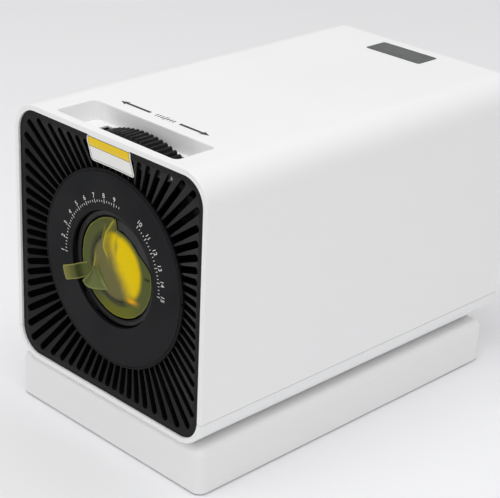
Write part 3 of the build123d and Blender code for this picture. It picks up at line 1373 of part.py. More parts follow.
flange_top = recess_z + slide_gap
disc_hub = rod_z(hub_flange, motor_top + slide_gap, flange_top)
disc_hub += rod_z(hub_radius, flange_top, recess_z + hub_rise)
disc_hub = fillet(disc_hub.faces().sort_by(Axis.Z)[-1].edges(), 0.5)
disc_hub += rod_z(spindle_radius, frame_top + 1.5, flange_top)
save("disc_hub", along(disc_hub))

screw_in = 4.0
sled_motor = rod_x(rod_z_line - frame_top, -9, screw_in, screw_line, rod_z_line)
sled_motor -= rod_x(lead_radius + run_gap, screw_in - 2.5, screw_in + 1, screw_line, rod_z_line)
save("tray_motors", group([along(spindle), along(sled_motor)]))
save("lead_screw", along(rod_x(lead_radius, screw_in - 2.0, bearing_out + 1.2, screw_line, rod_z_line)))

pickup_top = plate_low - slide_gap
pickup_wall = 1.5
pickup = block(pickup_back, pickup_front, rod_low - 2.5, rod_high + 1.6, frame_top + slide_gap, pickup_top)
pickup -= block(pickup_back + pickup_wall, pickup_front - pickup_wall, rod_low + 3.2, rod_low + 5.5,
                frame_top, pickup_top + 1)
pickup += block(laser_start - 5, laser_start + 1, rod_high + 1, screw_line + 1.4,
                rod_z_line + lead_radius + slide_gap, pickup_top)
for y in (rod_low, rod_high):
    pickup -= rod_x(rod_radius + run_gap, pickup_back - 1, pickup_front + 1, y, rod_z_line)
pickup += rod_z(3.0, pickup_top, recess_z - 0.3, laser_start - 1.0)
save("laser_pickup", along(pickup))
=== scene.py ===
import math

import bmesh
import bpy
from mathutils import Euler, Matrix, Vector, noise


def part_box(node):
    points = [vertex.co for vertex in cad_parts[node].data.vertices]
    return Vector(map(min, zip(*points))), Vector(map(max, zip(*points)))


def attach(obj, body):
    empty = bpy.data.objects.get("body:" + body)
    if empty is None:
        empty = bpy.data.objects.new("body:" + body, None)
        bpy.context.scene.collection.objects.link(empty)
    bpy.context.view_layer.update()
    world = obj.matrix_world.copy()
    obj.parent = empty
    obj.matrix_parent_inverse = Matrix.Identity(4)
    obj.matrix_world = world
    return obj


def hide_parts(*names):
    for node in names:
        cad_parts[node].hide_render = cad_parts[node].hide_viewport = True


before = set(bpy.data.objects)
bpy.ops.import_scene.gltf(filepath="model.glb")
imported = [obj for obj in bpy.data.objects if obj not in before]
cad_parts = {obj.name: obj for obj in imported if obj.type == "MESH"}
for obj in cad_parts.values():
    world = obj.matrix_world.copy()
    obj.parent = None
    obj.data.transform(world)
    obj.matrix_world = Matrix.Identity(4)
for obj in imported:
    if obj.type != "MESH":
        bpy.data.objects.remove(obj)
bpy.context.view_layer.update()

# ---------------------------------------------------------------- table, light and camera
# The object stands on a pale laminate table in a white room, under a large softbox, so every shadow is soft.
# Lengths are in metres. The camera is a long lens in front, to the right and a little above, rolled slightly.
MM = 0.001
table_half = 4.0
table_white = "f6f6f7"
room_white = "fdfdfe"
room_low = 0.43            # brightness of the room at the horizon and overhead
room_high = 0.69
camera_azimuth = math.radians(44.35)
camera_elevation = math.radians(24.24)
camera_roll = math.radians(2.5)
camera_place = Vector((0.5706, -0.5992, 0.4519))


def linear(hex_colour):
    """An sRGB hex colour as linear RGBA."""
    parts = [int(hex_colour[i:i + 2], 16) / 255 for i in (0, 2, 4)]
    return [p / 12.92 if p <= 0.04045 else ((p + 0.055) / 1.055) ** 2.4 for p in parts] + [1.0]


def node(tree, kind, inputs=None, **settings):
    """Add a node, set its own settings, and set or link its inputs."""
    made = tree.nodes.new(kind)
    for name, value in settings.items():
        setattr(made, name, value)
    for socket, value in (inputs or {}).items():
        if isinstance(value, bpy.types.NodeSocket):
            tree.links.new(value, made.inputs[socket])
        else:
            made.inputs[socket].default_value = value
    return made


def new_material(name, **surface):
    """A material with one Principled shader, whose plain sockets are set by name."""
    material = bpy.data.materials.new(name)
    material.use_nodes = True
    shader = material.node_tree.nodes["Principled BSDF"]
    for socket, value in surface.items():
        shader.inputs[socket.replace("_", " ")].default_value = value
    return material, material.node_tree, shader


def softbox(name, place, aim, size, power):
    """A rectangular area light at place, turned to aim."""
    lamp = bpy.data.lights.new(name, "AREA")
    lamp.shape = "RECTANGLE"
    lamp.size, lamp.size_y = size
    lamp.energy = power
    holder = bpy.data.objects.new(name, lamp)
    holder.location = place
    holder.rotation_euler = (Vector(aim) - Vector(place)).to_track_quat("-Z", "Y").to_euler()
    bpy.context.scene.collection.objects.link(holder)


table = bpy.data.meshes.new("table_top")
corners = [(-table_half, -table_half, 0), (table_half, -table_half, 0), (table_half, table_half, 0),
           (-table_half, table_half, 0)]
table.from_pydata(corners, [], [(0, 1, 2, 3)])
table_top = bpy.data.objects.new("table_top", table)
bpy.context.scene.collection.objects.link(table_top)
laminate, tree, shader = new_material("pale_matt_laminate", Roughness=0.6, Base_Color=linear(table_white))
table.materials.append(laminate)

room = bpy.data.worlds.new("white_room")
bpy.context.scene.world = room
room.use_nodes = True
tree = room.node_tree
way = node(tree, "ShaderNodeSeparateXYZ", {"Vector": node(tree, "ShaderNodeTexCoord").outputs["Generated"]})
shade = node(tree, "ShaderNodeMapRange", {"Value": way.outputs["Z"], "From Min": -0.1, "From Max": 0.9,
                                          "To Min": room_low, "To Max": room_high})
tree.links.new(shade.outputs["Result"], tree.nodes["Background"].inputs["Strength"])
tree.nodes["Background"].inputs["Color"].default_value = linear(room_white)
softbox("softbox_above", (0.15, -0.3, 1.7), (0, 0, 0.1), (1.6, 1.2), 11.7)
softbox("softbox_front", (-0.6, -1.7, 0.9), (0, 0, 0.1), (1.0, 1.0), 1.7)
softbox("softbox_low_right", (1.5, -1.1, 0.5), (0.05, 0, 0.03), (1.2, 0.6), 1.6)

bpy.context.scene.view_settings.view_transform = "Standard"
bpy.context.scene.view_settings.look = "None"
camera_data = bpy.data.cameras.new("camera")
camera_data.sensor_width = 36.0
camera_data.lens = 113.8
camera = bpy.data.objects.new("camera", camera_data)
camera.location = camera_place
looking = Euler((math.pi / 2 - camera_elevation, 0, camera_azimuth)).to_matrix()
camera.rotation_euler = (looking @ Matrix.Rotation(camera_roll, 3, "Z")).to_euler()
bpy.context.scene.collection.objects.link(camera)
bpy.context.scene.camera = camera

# ---------------------------------------------------------------- white housing shells
# Sleeve and lower shell are injection-moulded ABS from a spark-eroded tool: a dull white with a grain
# too fine to see, drawn a little coarser here, and a faint waviness where the walls sank as they cooled.
shell_white = "f5f5f5"
spark_grain = 0.7 * MM
sink_spacing = 80 * MM


def object_point(tree):
    """The Object coordinates, which are the row frame's on every finished piece."""
    return node(tree, "ShaderNodeTexCoord").outputs["Object"]


def grain(tree, point, size, depth, strength=1.0, detail=2.0, below=None):
    """A moulded or cast skin: noise with lumps of this size, in metres, as a bump of this depth."""
    lumps = node(tree, "ShaderNodeTexNoise", {"Vector": point, "Scale": 1 / size, "Detail": detail})
    inputs = {"Height": lumps.outputs["Fac"], "Strength": strength, "Distance": depth}
    if below is not None:
        inputs["Normal"] = below
    return node(tree, "ShaderNodeBump", inputs).outputs["Normal"]


def patchy(tree, point, size, low, high, shader, socket="Roughness"):
    """Let a plain value drift between two limits over patches of this size, as handled surfaces do."""
    patches = node(tree, "ShaderNodeTexNoise", {"Vector": point, "Scale": 1 / size, "Detail": 1.0})
    value = node(tree, "ShaderNodeMapRange", {"Value": patches.outputs["Fac"], "From Min": 0.35, "From Max": 0.65,
                                              "To Min": low, "To Max": high})
    tree.links.new(value.outputs["Result"], shader.inputs[socket])
    return patches


def dress(names, material):
    """Give CAD nodes their material."""
    for name in names:
        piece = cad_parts[name]
        piece.data.materials.clear()
        piece.data.materials.append(material)


shell_abs, tree, shader = new_material("spark_textured_white_abs", Base_Color=linear(shell_white), IOR=1.53)
point = object_point(tree)
sunk = patchy(tree, point, sink_spacing, 0.38, 0.5, shader)
skin = grain(tree, point, spark_grain, 0.02 * MM, strength=0.6)
wavy = node(tree, "ShaderNodeBump", {"Height": sunk.outputs["Fac"], "Strength": 0.2, "Distance": 0.3 * MM,
                                     "Normal": skin})
tree.links.new(wavy.outputs["Normal"], shader.inputs["Normal"])
shell_low, shell_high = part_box("housing_sleeve")
top_z = shell_high.z
front_y = shell_low.y

# Inside, as far back as the slots of the grille let one see, the shells' inner faces are painted black, as painted
# shade for the dark interior seen through the slots. The focus well stays white.
shade_from, shade_to = 2.0 * MM, 75.0 * MM      # behind the front rim
shade_under = 1.5 * MM                         # inside the outer skin
interior_shade_black = "161618"
shell_corner = 17.0 * MM
well_middle = Vector((0.0, front_y + 18.75 * MM, top_z - 3.0 * MM))
well_half = Vector((47.1 * MM, 13.85 * MM, 8.5 * MM))


def compare(tree, operation, a, b):
    """One Math node's value, for a mask."""
    return node(tree, "ShaderNodeMath", {0: a, 1: b}, operation=operation).outputs[0]


def within(tree, point, middle, half):
    """1 inside a box, 0 outside."""
    moved = node(tree, "ShaderNodeVectorMath", {0: point, 1: middle}, operation="SUBTRACT")
    away = node(tree, "ShaderNodeVectorMath", {0: moved.outputs[0]}, operation="ABSOLUTE")
    parts = node(tree, "ShaderNodeSeparateXYZ", {"Vector": away.outputs[0]})
    masks = [compare(tree, "LESS_THAN", parts.outputs[i], half[i]) for i in range(3)]
    return compare(tree, "MULTIPLY", compare(tree, "MULTIPLY", masks[0], masks[1]), masks[2])


def skin_depth(tree, point, low, high, corner):
    """Distance from the rounded outline of the shells, seen from the front, which is negative inside."""
    middle, half = (low + high) / 2, (high - low) / 2
    moved = node(tree, "ShaderNodeVectorMath", {0: point, 1: middle}, operation="SUBTRACT")
    away = node(tree, "ShaderNodeVectorMath", {0: moved.outputs[0]}, operation="ABSOLUTE")
    beyond = node(tree, "ShaderNodeVectorMath", {0: away.outputs[0], 1: (half.x - corner, 1.0, half.z - corner)},
                  operation="SUBTRACT")
    outer = node(tree, "ShaderNodeVectorMath", {0: beyond.outputs[0], 1: (0.0, 0.0, 0.0)}, operation="MAXIMUM")
    round_part = node(tree, "ShaderNodeVectorMath", {0: outer.outputs[0]}, operation="LENGTH").outputs["Value"]
    parts = node(tree, "ShaderNodeSeparateXYZ", {"Vector": beyond.outputs[0]})
    straight = compare(tree, "MINIMUM", compare(tree, "MAXIMUM", parts.outputs["X"], parts.outputs["Z"]), 0.0)
    return compare(tree, "SUBTRACT", compare(tree, "ADD", round_part, straight), corner)


lower_low, lower_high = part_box("lower_housing")
depth = skin_depth(tree, point, Vector((shell_low.x, 0, lower_low.z)), Vector((shell_high.x, 0, shell_high.z)),
                   shell_corner)
inner = compare(tree, "LESS_THAN", depth, -shade_under)
along = node(tree, "ShaderNodeSeparateXYZ", {"Vector": point}).outputs["Y"]
inner = compare(tree, "MULTIPLY", inner, compare(tree, "GREATER_THAN", along, front_y + shade_from))
inner = compare(tree, "MULTIPLY", inner, compare(tree, "LESS_THAN", along, front_y + shade_to))
well = within(tree, point, well_middle, well_half)
# Painted shade: the inner faces behind the grille, all but the focus well's, are painted black.
coated = compare(tree, "MULTIPLY", inner, compare(tree, "SUBTRACT", 1.0, well))
shade_mix = tree.nodes.new("ShaderNodeMix")
shade_mix.data_type = "RGBA"
tree.links.new(coated, shade_mix.inputs[0])
shade_mix.inputs[6].default_value = linear(shell_white)
shade_mix.inputs[7].default_value = linear(interior_shade_black)
tree.links.new(shade_mix.outputs[2], shader.inputs["Base Color"])
dress(["housing_sleeve", "lower_housing"], shell_abs)

# ---------------------------------------------------------------- base of the disc player
# The slab under the housing is a second moulding, a touch greyer and smoother than the housing, with the tray's
# face and the eject key in the same plastic. Its floor is a plain moulding that nobody sees.
base_white = "f1f1f1"
floor_grey = "c9c9c8"
base_abs, tree, shader = new_material("smooth_white_abs", Base_Color=linear(base_white), IOR=1.53)
point = object_point(tree)
patchy(tree, point, sink_spacing, 0.3, 0.4, shader)
tree.links.new(grain(tree, point, spark_grain, 0.015 * MM, strength=0.4), shader.inputs["Normal"])
dress(["base_cover", "tray_face", "eject_button"], base_abs)
floor_abs, tree, shader = new_material("plain_grey_abs", Base_Color=linear(floor_grey), IOR=1.53)
point = object_point(tree)
patchy(tree, point, 30 * MM, 0.45, 0.6, shader)
tree.links.new(grain(tree, point, 1.2 * MM, 0.04 * MM), shader.inputs["Normal"])
dress(["base_floor"], floor_abs)

# ---------------------------------------------------------------- front grille
# One black ABS moulding, dished towards the lens and cut by radial slots. Its satin skin is finely textured,
# so each bar takes the softbox as a faint even grey.
grille_black = "0a0a0c"
grille_abs, tree, shader = new_material("satin_black_abs", Base_Color=linear(grille_black), IOR=1.53,
                                       Specular_IOR_Level=0.16)
point = object_point(tree)
patchy(tree, point, 25 * MM, 0.4, 0.5, shader)
tree.links.new(grain(tree, point, 0.5 * MM, 0.02 * MM, strength=0.6), shader.inputs["Normal"])
dress(["front_grille"], grille_abs)

# ---------------------------------------------------------------- lens bezel and its scale
# A flat black ring in a finer grain, which looks even and slightly blue. A white scale is pad-printed on two arcs
# round the bore: plain ticks, every fifth one long, and plain numbers. It is a few hundredths of a millimetre thick.
bezel_black = "0b0c0f"
print_white = "e6e6e4"
print_thick = 0.04 * MM
scale_radius = 39.0 * MM
figure_height = 2.7 * MM
tick_size = (0.34 * MM, 1.1 * MM)
tick_step = 3.0            # degrees
long_every = 4
scale_arcs = ((183.0, 81.0), (57.0, -3.0))
bezel_abs, tree, shader = new_material("fine_textured_black_abs", Base_Color=linear(bezel_black), IOR=1.5,
                                      Specular_IOR_Level=0.14)
point = object_point(tree)
patchy(tree, point, 30 * MM, 0.46, 0.56, shader)
tree.links.new(grain(tree, point, 0.4 * MM, 0.015 * MM, strength=0.6), shader.inputs["Normal"])
dress(["lens_bezel"], bezel_abs)
bezel_low, bezel_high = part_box("lens_bezel")
axis_z = (bezel_low.z + bezel_high.z) / 2
bezel_y = bezel_low.y

print_ink, tree, shader = new_material("white_pad_print_ink", Base_Color=linear(print_white), IOR=1.5)
patchy(tree, object_point(tree), 1.5 * MM, 0.4, 0.6, shader)


def new_tree(name, inputs):
    """A geometry tree with named inputs, each (name, socket kind, value)."""
    tree = bpy.data.node_groups.new(name, "GeometryNodeTree")
    for label, kind, value in inputs:
        socket = tree.interface.new_socket(label, in_out="INPUT", socket_type=kind)
        if value is not None:
            socket.default_value = value
    tree.interface.new_socket("Geometry", in_out="OUTPUT", socket_type="NodeSocketGeometry")
    return tree, tree.nodes.new("NodeGroupInput"), tree.nodes.new("NodeGroupOutput")


def grow(name, mesh, tree, values):
    """Run a geometry tree over a mesh and return the result as a plain object."""
    seed = bpy.data.objects.new(name + "_seed", mesh)
    bpy.context.scene.collection.objects.link(seed)
    modifier = seed.modifiers.new(name, "NODES")
    modifier.node_group = tree
    for item in tree.interface.items_tree:
        if item.in_out == "INPUT" and item.name in values:
            modifier[item.identifier] = values[item.name]
    evaluated = seed.evaluated_get(bpy.context.evaluated_depsgraph_get())
    grown = bpy.data.meshes.new_from_object(evaluated)
    bpy.data.objects.remove(seed)
    piece = bpy.data.objects.new(name, grown)
    bpy.context.scene.collection.objects.link(piece)
    return piece


def math_node(tree, operation, a, b=0.0):
    """One Math node's value."""
    return node(tree, "ShaderNodeMath", {0: a, 1: b}, operation=operation).outputs[0]


tree, given, result = new_tree("arc_of_ticks", (
    ("Geometry", "NodeSocketGeometry", None), ("Radius", "NodeSocketFloat", 0.0), ("Start", "NodeSocketFloat", 0.0),
    ("Step", "NodeSocketFloat", 0.0), ("Count", "NodeSocketInt", 1), ("Width", "NodeSocketFloat", 0.0),
    ("Length", "NodeSocketFloat", 0.0), ("Thickness", "NodeSocketFloat", 0.0), ("Long Every", "NodeSocketInt", 1)))
number = node(tree, "GeometryNodeInputIndex").outputs[0]
angle = math_node(tree, "ADD", given.outputs["Start"], math_node(tree, "MULTIPLY", number, given.outputs["Step"]))
east = math_node(tree, "MULTIPLY", math_node(tree, "COSINE", angle), given.outputs["Radius"])
up = math_node(tree, "MULTIPLY", math_node(tree, "SINE", angle), given.outputs["Radius"])
spot = node(tree, "ShaderNodeCombineXYZ", {"X": east, "Z": up})
spots = node(tree, "GeometryNodePoints", {"Count": given.outputs["Count"], "Position": spot.outputs[0]})
tick = node(tree, "GeometryNodeMeshCube", {"Size": node(tree, "ShaderNodeCombineXYZ", {
    "X": given.outputs["Length"], "Y": given.outputs["Thickness"], "Z": given.outputs["Width"]}).outputs[0]})
turn = node(tree, "ShaderNodeCombineXYZ", {"Y": math_node(tree, "MULTIPLY", angle, -1.0)})
within = math_node(tree, "MODULO", number, given.outputs["Long Every"])
is_long = math_node(tree, "LESS_THAN", within, 0.5)
stretch = node(tree, "ShaderNodeCombineXYZ", {"X": math_node(tree, "ADD", is_long, 1.0), "Y": 1.0, "Z": 1.0})
ticks = node(tree, "GeometryNodeInstanceOnPoints", {
    "Points": spots.outputs[0], "Instance": tick.outputs["Mesh"], "Rotation": turn.outputs[0],
    "Scale": stretch.outputs[0]})
whole = node(tree, "GeometryNodeRealizeInstances", {"Geometry": ticks.outputs[0]})
inked = node(tree, "GeometryNodeSetMaterial", {"Geometry": whole.outputs[0], "Material": print_ink})
tree.links.new(inked.outputs[0], result.inputs[0])
tick_tree = tree


def shift(piece, offset):
    """Move a piece by moving its mesh, so its object stays at the origin."""
    piece.data.transform(Matrix.Translation(offset))


def figure(text, height, thick):
    """A plain number as a closed mesh in the X-Y plane, centred, thick along Z."""
    curve = bpy.data.curves.new("figure_" + text, "FONT")
    curve.body = text
    curve.align_x = "CENTER"
    curve.align_y = "CENTER"
    curve.size = height * 1.4
    curve.extrude = thick / 2
    holder = bpy.data.objects.new(curve.name, curve)
    mesh = bpy.data.meshes.new_from_object(holder)
    bpy.data.objects.remove(holder)
    return mesh


def join(name, meshes, material):
    """One piece from several meshes that are already in place."""
    joined = bmesh.new()
    for mesh in meshes:
        joined.from_mesh(mesh)
        bpy.data.meshes.remove(mesh)
    made = bpy.data.meshes.new(name)
    joined.to_mesh(made)
    joined.free()
    made.materials.clear()
    made.materials.append(material)
    piece = bpy.data.objects.new(name, made)
    bpy.context.scene.collection.objects.link(piece)
    return piece


marks = []
figure_value = 0
for arc, (start, end) in enumerate(scale_arcs):
    count = round(abs(end - start) / tick_step) + 1
    piece = grow(f"ticks_{arc}", bpy.data.meshes.new("seed"), tick_tree, {
        "Radius": scale_radius - 1.9 * MM, "Start": math.radians(start), "Step": -math.radians(tick_step),
        "Count": count, "Width": tick_size[0], "Length": tick_size[1], "Thickness": print_thick,
        "Long Every": long_every})
    shift(piece, (0, bezel_y - print_thick / 2, axis_z))
    marks.append(piece.data.copy())
    bpy.data.objects.remove(piece)
    for index in range(0, count, long_every):
        figure_value += 1
        angle = math.radians(start - index * tick_step)
        mesh = figure(str(figure_value), figure_height, print_thick)
        stand = Matrix.Rotation(math.pi / 2, 4, "X")
        face_out = Matrix.Rotation(math.pi / 2 - angle, 4, "Y")
        out = Matrix.Translation((0, 0, scale_radius + 1.0 * MM))
        place = Matrix.Translation((0, bezel_y - print_thick / 2, axis_z)) @ face_out @ out @ stand
        mesh.transform(place)
        marks.append(mesh)
bezel_scale = join("bezel_scale", marks, print_ink)
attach(bezel_scale, "root")

# ---------------------------------------------------------------- focus ring
# A ring of black glass-filled nylon with moulded teeth. Fingers have polished the teeth unevenly.
ring_black = "0d0d0f"
ring_nylon, tree, shader = new_material("glass_filled_black_nylon", Base_Color=linear(ring_black), IOR=1.53,
                                        Specular_IOR_Level=0.2)
point = object_point(tree)
patchy(tree, point, 6 * MM, 0.32, 0.55, shader)
tree.links.new(grain(tree, point, 0.5 * MM, 0.03 * MM, strength=0.7), shader.inputs["Normal"])
dress(["focus_ring"], ring_nylon)

# ---------------------------------------------------------------- lens barrel and its rings
# The barrel is turned and painted matt black inside and out; the rings that hold the glass are anodised dark grey
# and keep the fine circles of the lathe.
barrel_black = "0a0a0c"
anodised_grey = "0e0e0f"
lathe_pitch = 0.35 * MM


def lathe_marks(tree, point, pitch, depth):
    """Fine circles about the lens axis, as a turned face has."""
    centred = node(tree, "ShaderNodeMapping", {"Vector": point, "Location": (0, 0, -axis_z)})
    circles = node(tree, "ShaderNodeTexWave", {"Vector": centred.outputs[0], "Scale": 1 / (2 * math.pi * pitch),
                                               "Distortion": 0.4, "Detail": 1.0},
                   wave_type="RINGS", rings_direction="Y")
    return node(tree, "ShaderNodeBump", {"Height": circles.outputs["Fac"], "Strength": 0.5,
                                         "Distance": depth}).outputs["Normal"]


barrel_paint, tree, shader = new_material("matt_black_barrel_paint", Base_Color=linear(barrel_black), IOR=1.5,
                                          Specular_IOR_Level=0.3)
point = object_point(tree)
patchy(tree, point, 8 * MM, 0.36, 0.5, shader)
tree.links.new(lathe_marks(tree, point, lathe_pitch, 0.01 * MM), shader.inputs["Normal"])
dress(["lens_barrel", "lens_mount_plate", "ring_retainer"], barrel_paint)
ring_metal, tree, shader = new_material("anodised_dark_aluminium", Base_Color=linear(anodised_grey), Metallic=0.3)
point = object_point(tree)
patchy(tree, point, 5 * MM, 0.3, 0.4, shader)
tree.links.new(lathe_marks(tree, point, lathe_pitch, 0.01 * MM), shader.inputs["Normal"])
dress(["lens_retaining_ring", "rear_retaining_ring"], ring_metal)

# ---------------------------------------------------------------- lens glass
# Crown glass with a thin coating that turns its reflections faintly green. The sheets in the light tunnel are
# acrylic and heat-proof glass.
crown_tint = "f3faf6"
crown_glass, tree, shader = new_material("coated_crown_glass", Base_Color=linear(crown_tint), Roughness=0.01, IOR=1.52,
                                         Transmission_Weight=1.0)
dress(["front_lens", "middle_lens", "rear_lens", "condenser_lens", "heat_glass"], crown_glass)
acrylic, tree, shader = new_material("ribbed_acrylic_sheet", Base_Color=linear("f6f8fa"), Roughness=0.06, IOR=1.49,
                                     Transmission_Weight=1.0)
tree.links.new(lathe_marks(tree, object_point(tree), 0.5 * MM, 0.02 * MM), shader.inputs["Normal"])
dress(["field_lenses"], acrylic)

# ---------------------------------------------------------------- protective film
# A disc of thin yellow-green polyester film, laid over the lens for shipping, with a pull tab on the left. It has
# been lifted at the upper right and pressed back, so it is pleated, and a corner is folded over at the lower left.
# It is olive over black and tan over the glass; the full yellow where the glass throws the softbox back through it
# is a painted reflection.
film_radius = 27.5 * MM
film_lifted_radius = 21.8 * MM
lifted_from, lifted_to = 34.0, 90.0        # degrees, anticlockwise from the right
film_thick = 0.08 * MM
film_clear = 0.3 * MM
dome_height = 1.9 * MM
dome_radius = 21.0 * MM
film_rings = 80
film_sectors = 320
tab_angle = math.radians(201.0)
tab_width = 8.2 * MM
tab_start, tab_end = 24.0 * MM, 39.8 * MM
tab_rows, tab_columns = 40, 10
fold_rows = 24
over_black, over_glass, in_shadow, painted_reflection_yellow = "5c6233", "747042", "0c0c02", "eccb00"
low_arc, fold_green, glint_amber, highlight_pale = "6f7220", "6c7340", "f2b200", "cfc44a"
film_ring_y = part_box("lens_retaining_ring")[0].y

# A crease is (width, brightness of its painted highlight, points), a point being right, up and height from
# the lens axis, in millimetres.
creases = (
    (1.6, 0.9, ((-1.6, 26.4, 1.2), (-5.8, 19.0, 2.6), (-6.4, 11.0, 2.6), (-4.6, 5.6, 0.8))),
    (2.4, 0.35, ((-8.2, 22.0, 0.6), (-9.2, 15.0, 1.2), (-7.4, 8.0, 1.0), (-4.6, 5.6, 0.6))),
    (2.2, 0.5, ((-4.6, 5.6, 0.8), (-3.4, 1.0, 0.3))),
    (2.2, 0.3, ((3.5, 20.5, 0.4), (0.6, 14.0, 0.8), (0.9, 7.0, 0.3))),
    (1.6, 0.6, ((-15.6, -4.8, 2.4), (-15.0, 1.0, 1.2), (-16.0, 5.0, 0.2))),
    (1.6, 0.5, ((-15.6, -4.8, 2.4), (-11.0, -10.5, 1.4), (-6.0, -13.2, 0.3))),
)
# The folded corner: its three sides are a crease on the disc, the free lower edge and the free edge by the tab.
fold_root, fold_tip, fold_end = Vector((-15.4, -3.0)), Vector((-27.6, -17.6)), Vector((-4.6, -13.8))
fold_sag = 6.5             # how far the free lower edge hangs below its two ends, in millimetres


def ease(low, high, value):
    """Smooth step from 0 at low to 1 at high."""
    share = min(max((value - low) / (high - low), 0.0), 1.0)
    return share * share * (3 - 2 * share)


def bump(value, middle, width):
    """A bell of height 1 about middle."""
    return math.exp(-((value - middle) / width) ** 2)


def blend(colour, other, share):
    """Mix a linear colour towards a hex colour."""
    return [a + (b - a) * share for a, b in zip(colour, linear(other))]


def creases_at(x, z):
    """Height of the creases over a point, in mm, and how strong their painted highlight is there, 0 to 1."""
    height, shine = 0.0, 0.0
    for width, brightness, points in creases:
        for (x0, z0, h0), (x1, z1, h1) in zip(points, points[1:]):
            run = Vector((x1 - x0, z1 - z0))
            share = min(max((Vector((x - x0, z - z0)) @ run) / run.length_squared, 0.0), 1.0)
            away = math.hypot(x - x0 - share * run.x, z - z0 - share * run.y)
            peak = h0 + share * (h1 - h0)
            height = max(height, peak * (1 - ease(0.0, width, away)))
            shine = max(shine, brightness * min(peak / 1.2, 1.0) * bump(away, 0.0, 0.55))
            shine = max(shine, 0.35 * brightness * min(peak / 1.2, 1.0) * bump(away, 0.0, 1.6))
    return height, shine


def film_paint(x, z, shine):
    """The film's colour and cover at a point, in mm from the lens axis, from what lies behind it there, with painted
    reflection, highlights and shade.
    """
    reach, turn = math.hypot(x, z), math.degrees(math.atan2(z, x)) % 360
    wander = 2.0 * noise.noise(Vector((x, z, 4.0)) / 9) + 0.8 * noise.noise(Vector((x, z, 7.0)) / 3)
    colour = linear(over_black)
    colour = blend(colour, low_arc, ease(225, 265, turn) * (1 - ease(285, 330, turn)) * ease(20.5, 22.5, reach))
    glass = 1 - ease(16.5, 18.2, reach)
    colour = blend(colour, over_glass, glass)
    # Painted shade: a dark band between the glass and the film's ring, with a paler line in it.
    rim_shadow = bump(reach, 19.1, 1.8) * ease(105, 125, turn) * (1 - ease(285, 300, turn))
    colour = blend(colour, in_shadow, 0.95 * rim_shadow)
    colour = blend(colour, over_black, 0.7 * rim_shadow * bump(reach, 19.5, 0.3))
    # Painted reflection: full yellow where the glass throws the softbox back through the film, dimmed by painted shade
    # under the pleat.
    pleat_shadow = bump(math.hypot((x - 1.4) / 1.3, (z - 13.0) / 6.5), 0.0, 0.8)
    slant = 0.896 * x + 0.444 * z + wander
    softbox_reflection = ease(-2.5, 8.5, slant) * (1 - ease(17.8, 21.4, reach)) * ease(-18.0, -9.0, z)
    softbox_reflection *= 1 - 0.55 * pleat_shadow
    colour = blend(colour, painted_reflection_yellow, softbox_reflection)
    # Painted highlight: a small amber glint low on the right of the glass.
    glint = bump(math.hypot((x - 12.8) / 2.0, (z + 14.6) / 0.9), 0.0, 1.8)
    colour = blend(colour, glint_amber, glint)
    # Painted highlight along the creases.
    colour = blend(colour, highlight_pale, 0.9 * shine)
    # Painted shade in the ring's notch at 4 degrees, under the film.
    notch_shade = bump(turn if turn < 180 else turn - 360, 4.0, 1.6) * ease(21.6, 23.0, reach) * (1 - ease(26.0, 27.0, reach))
    colour = blend(colour, in_shadow, 0.85 * notch_shade)
    # Painted highlight along the film's free edge, left off where the edge is lifted.
    edge = ease(26.6, 27.3, reach) * (1 - ease(lifted_from, lifted_to, turn) * (1 - ease(lifted_to, 92, turn)))
    colour = blend(colour, highlight_pale, 0.25 * edge)
    return colour, 0.86 + 0.12 * max(softbox_reflection, glint, shine, rim_shadow)


def film_height(x, z):
    """How far the film stands off the retaining ring at a point, and how strong the painted crease highlight is there.
    """
    height, shine = creases_at(x / MM, z / MM)
    rumple = 0.2 * noise.noise(Vector((x, z, 0.0)) / (6 * MM)) + 0.06 * noise.noise(Vector((x, z, 0.1)) / (2 * MM))
    dome = dome_height * max(0.0, 1 - (math.hypot(x, z) / dome_radius) ** 2)
    return dome + film_clear + (height + rumple) * MM, shine


film_points, film_colours, film_faces = [], [], []


def film_vertex(x, z, y, colour, cover):
    """Add a vertex at this place from the lens axis, and return its number."""
    film_points.append((x, y, axis_z + z))
    film_colours.extend((*colour[:3], cover))
    return len(film_points) - 1


def film_grid(rows):
    """Join neighbouring rows of vertices with faces."""
    for row, following in zip(rows, rows[1:]):
        for index in range(len(row) - 1):
            film_faces.append((row[index], row[index + 1], following[index + 1], following[index]))


def on_disc(x, z):
    """Add a vertex of the disc itself."""
    height, shine = film_height(x, z)
    return film_vertex(x, z, film_ring_y - film_thick - height, *film_paint(x / MM, z / MM, shine))


centre = on_disc(0.0, 0.0)
rings = []
for ring in range(1, film_rings + 1):
    row = []
    for sector in range(film_sectors):
        angle = 2 * math.pi * sector / film_sectors
        degrees = math.degrees(angle)
        lifted = ease(lifted_from - 26, lifted_from + 6, degrees) * (1 - ease(lifted_to - 1.5, lifted_to + 1.5, degrees))
        edge = film_radius + (film_lifted_radius - film_radius) * lifted
        edge += 0.2 * MM * noise.noise(Vector((math.cos(angle), math.sin(angle), 0)) * 4)
        row.append(on_disc(edge * ring / film_rings * math.cos(angle), edge * ring / film_rings * math.sin(angle)))
    rings.append(row + row[:1])
film_faces += [(centre, here, there) for here, there in zip(rings[0], rings[0][1:])]
film_grid(rings)

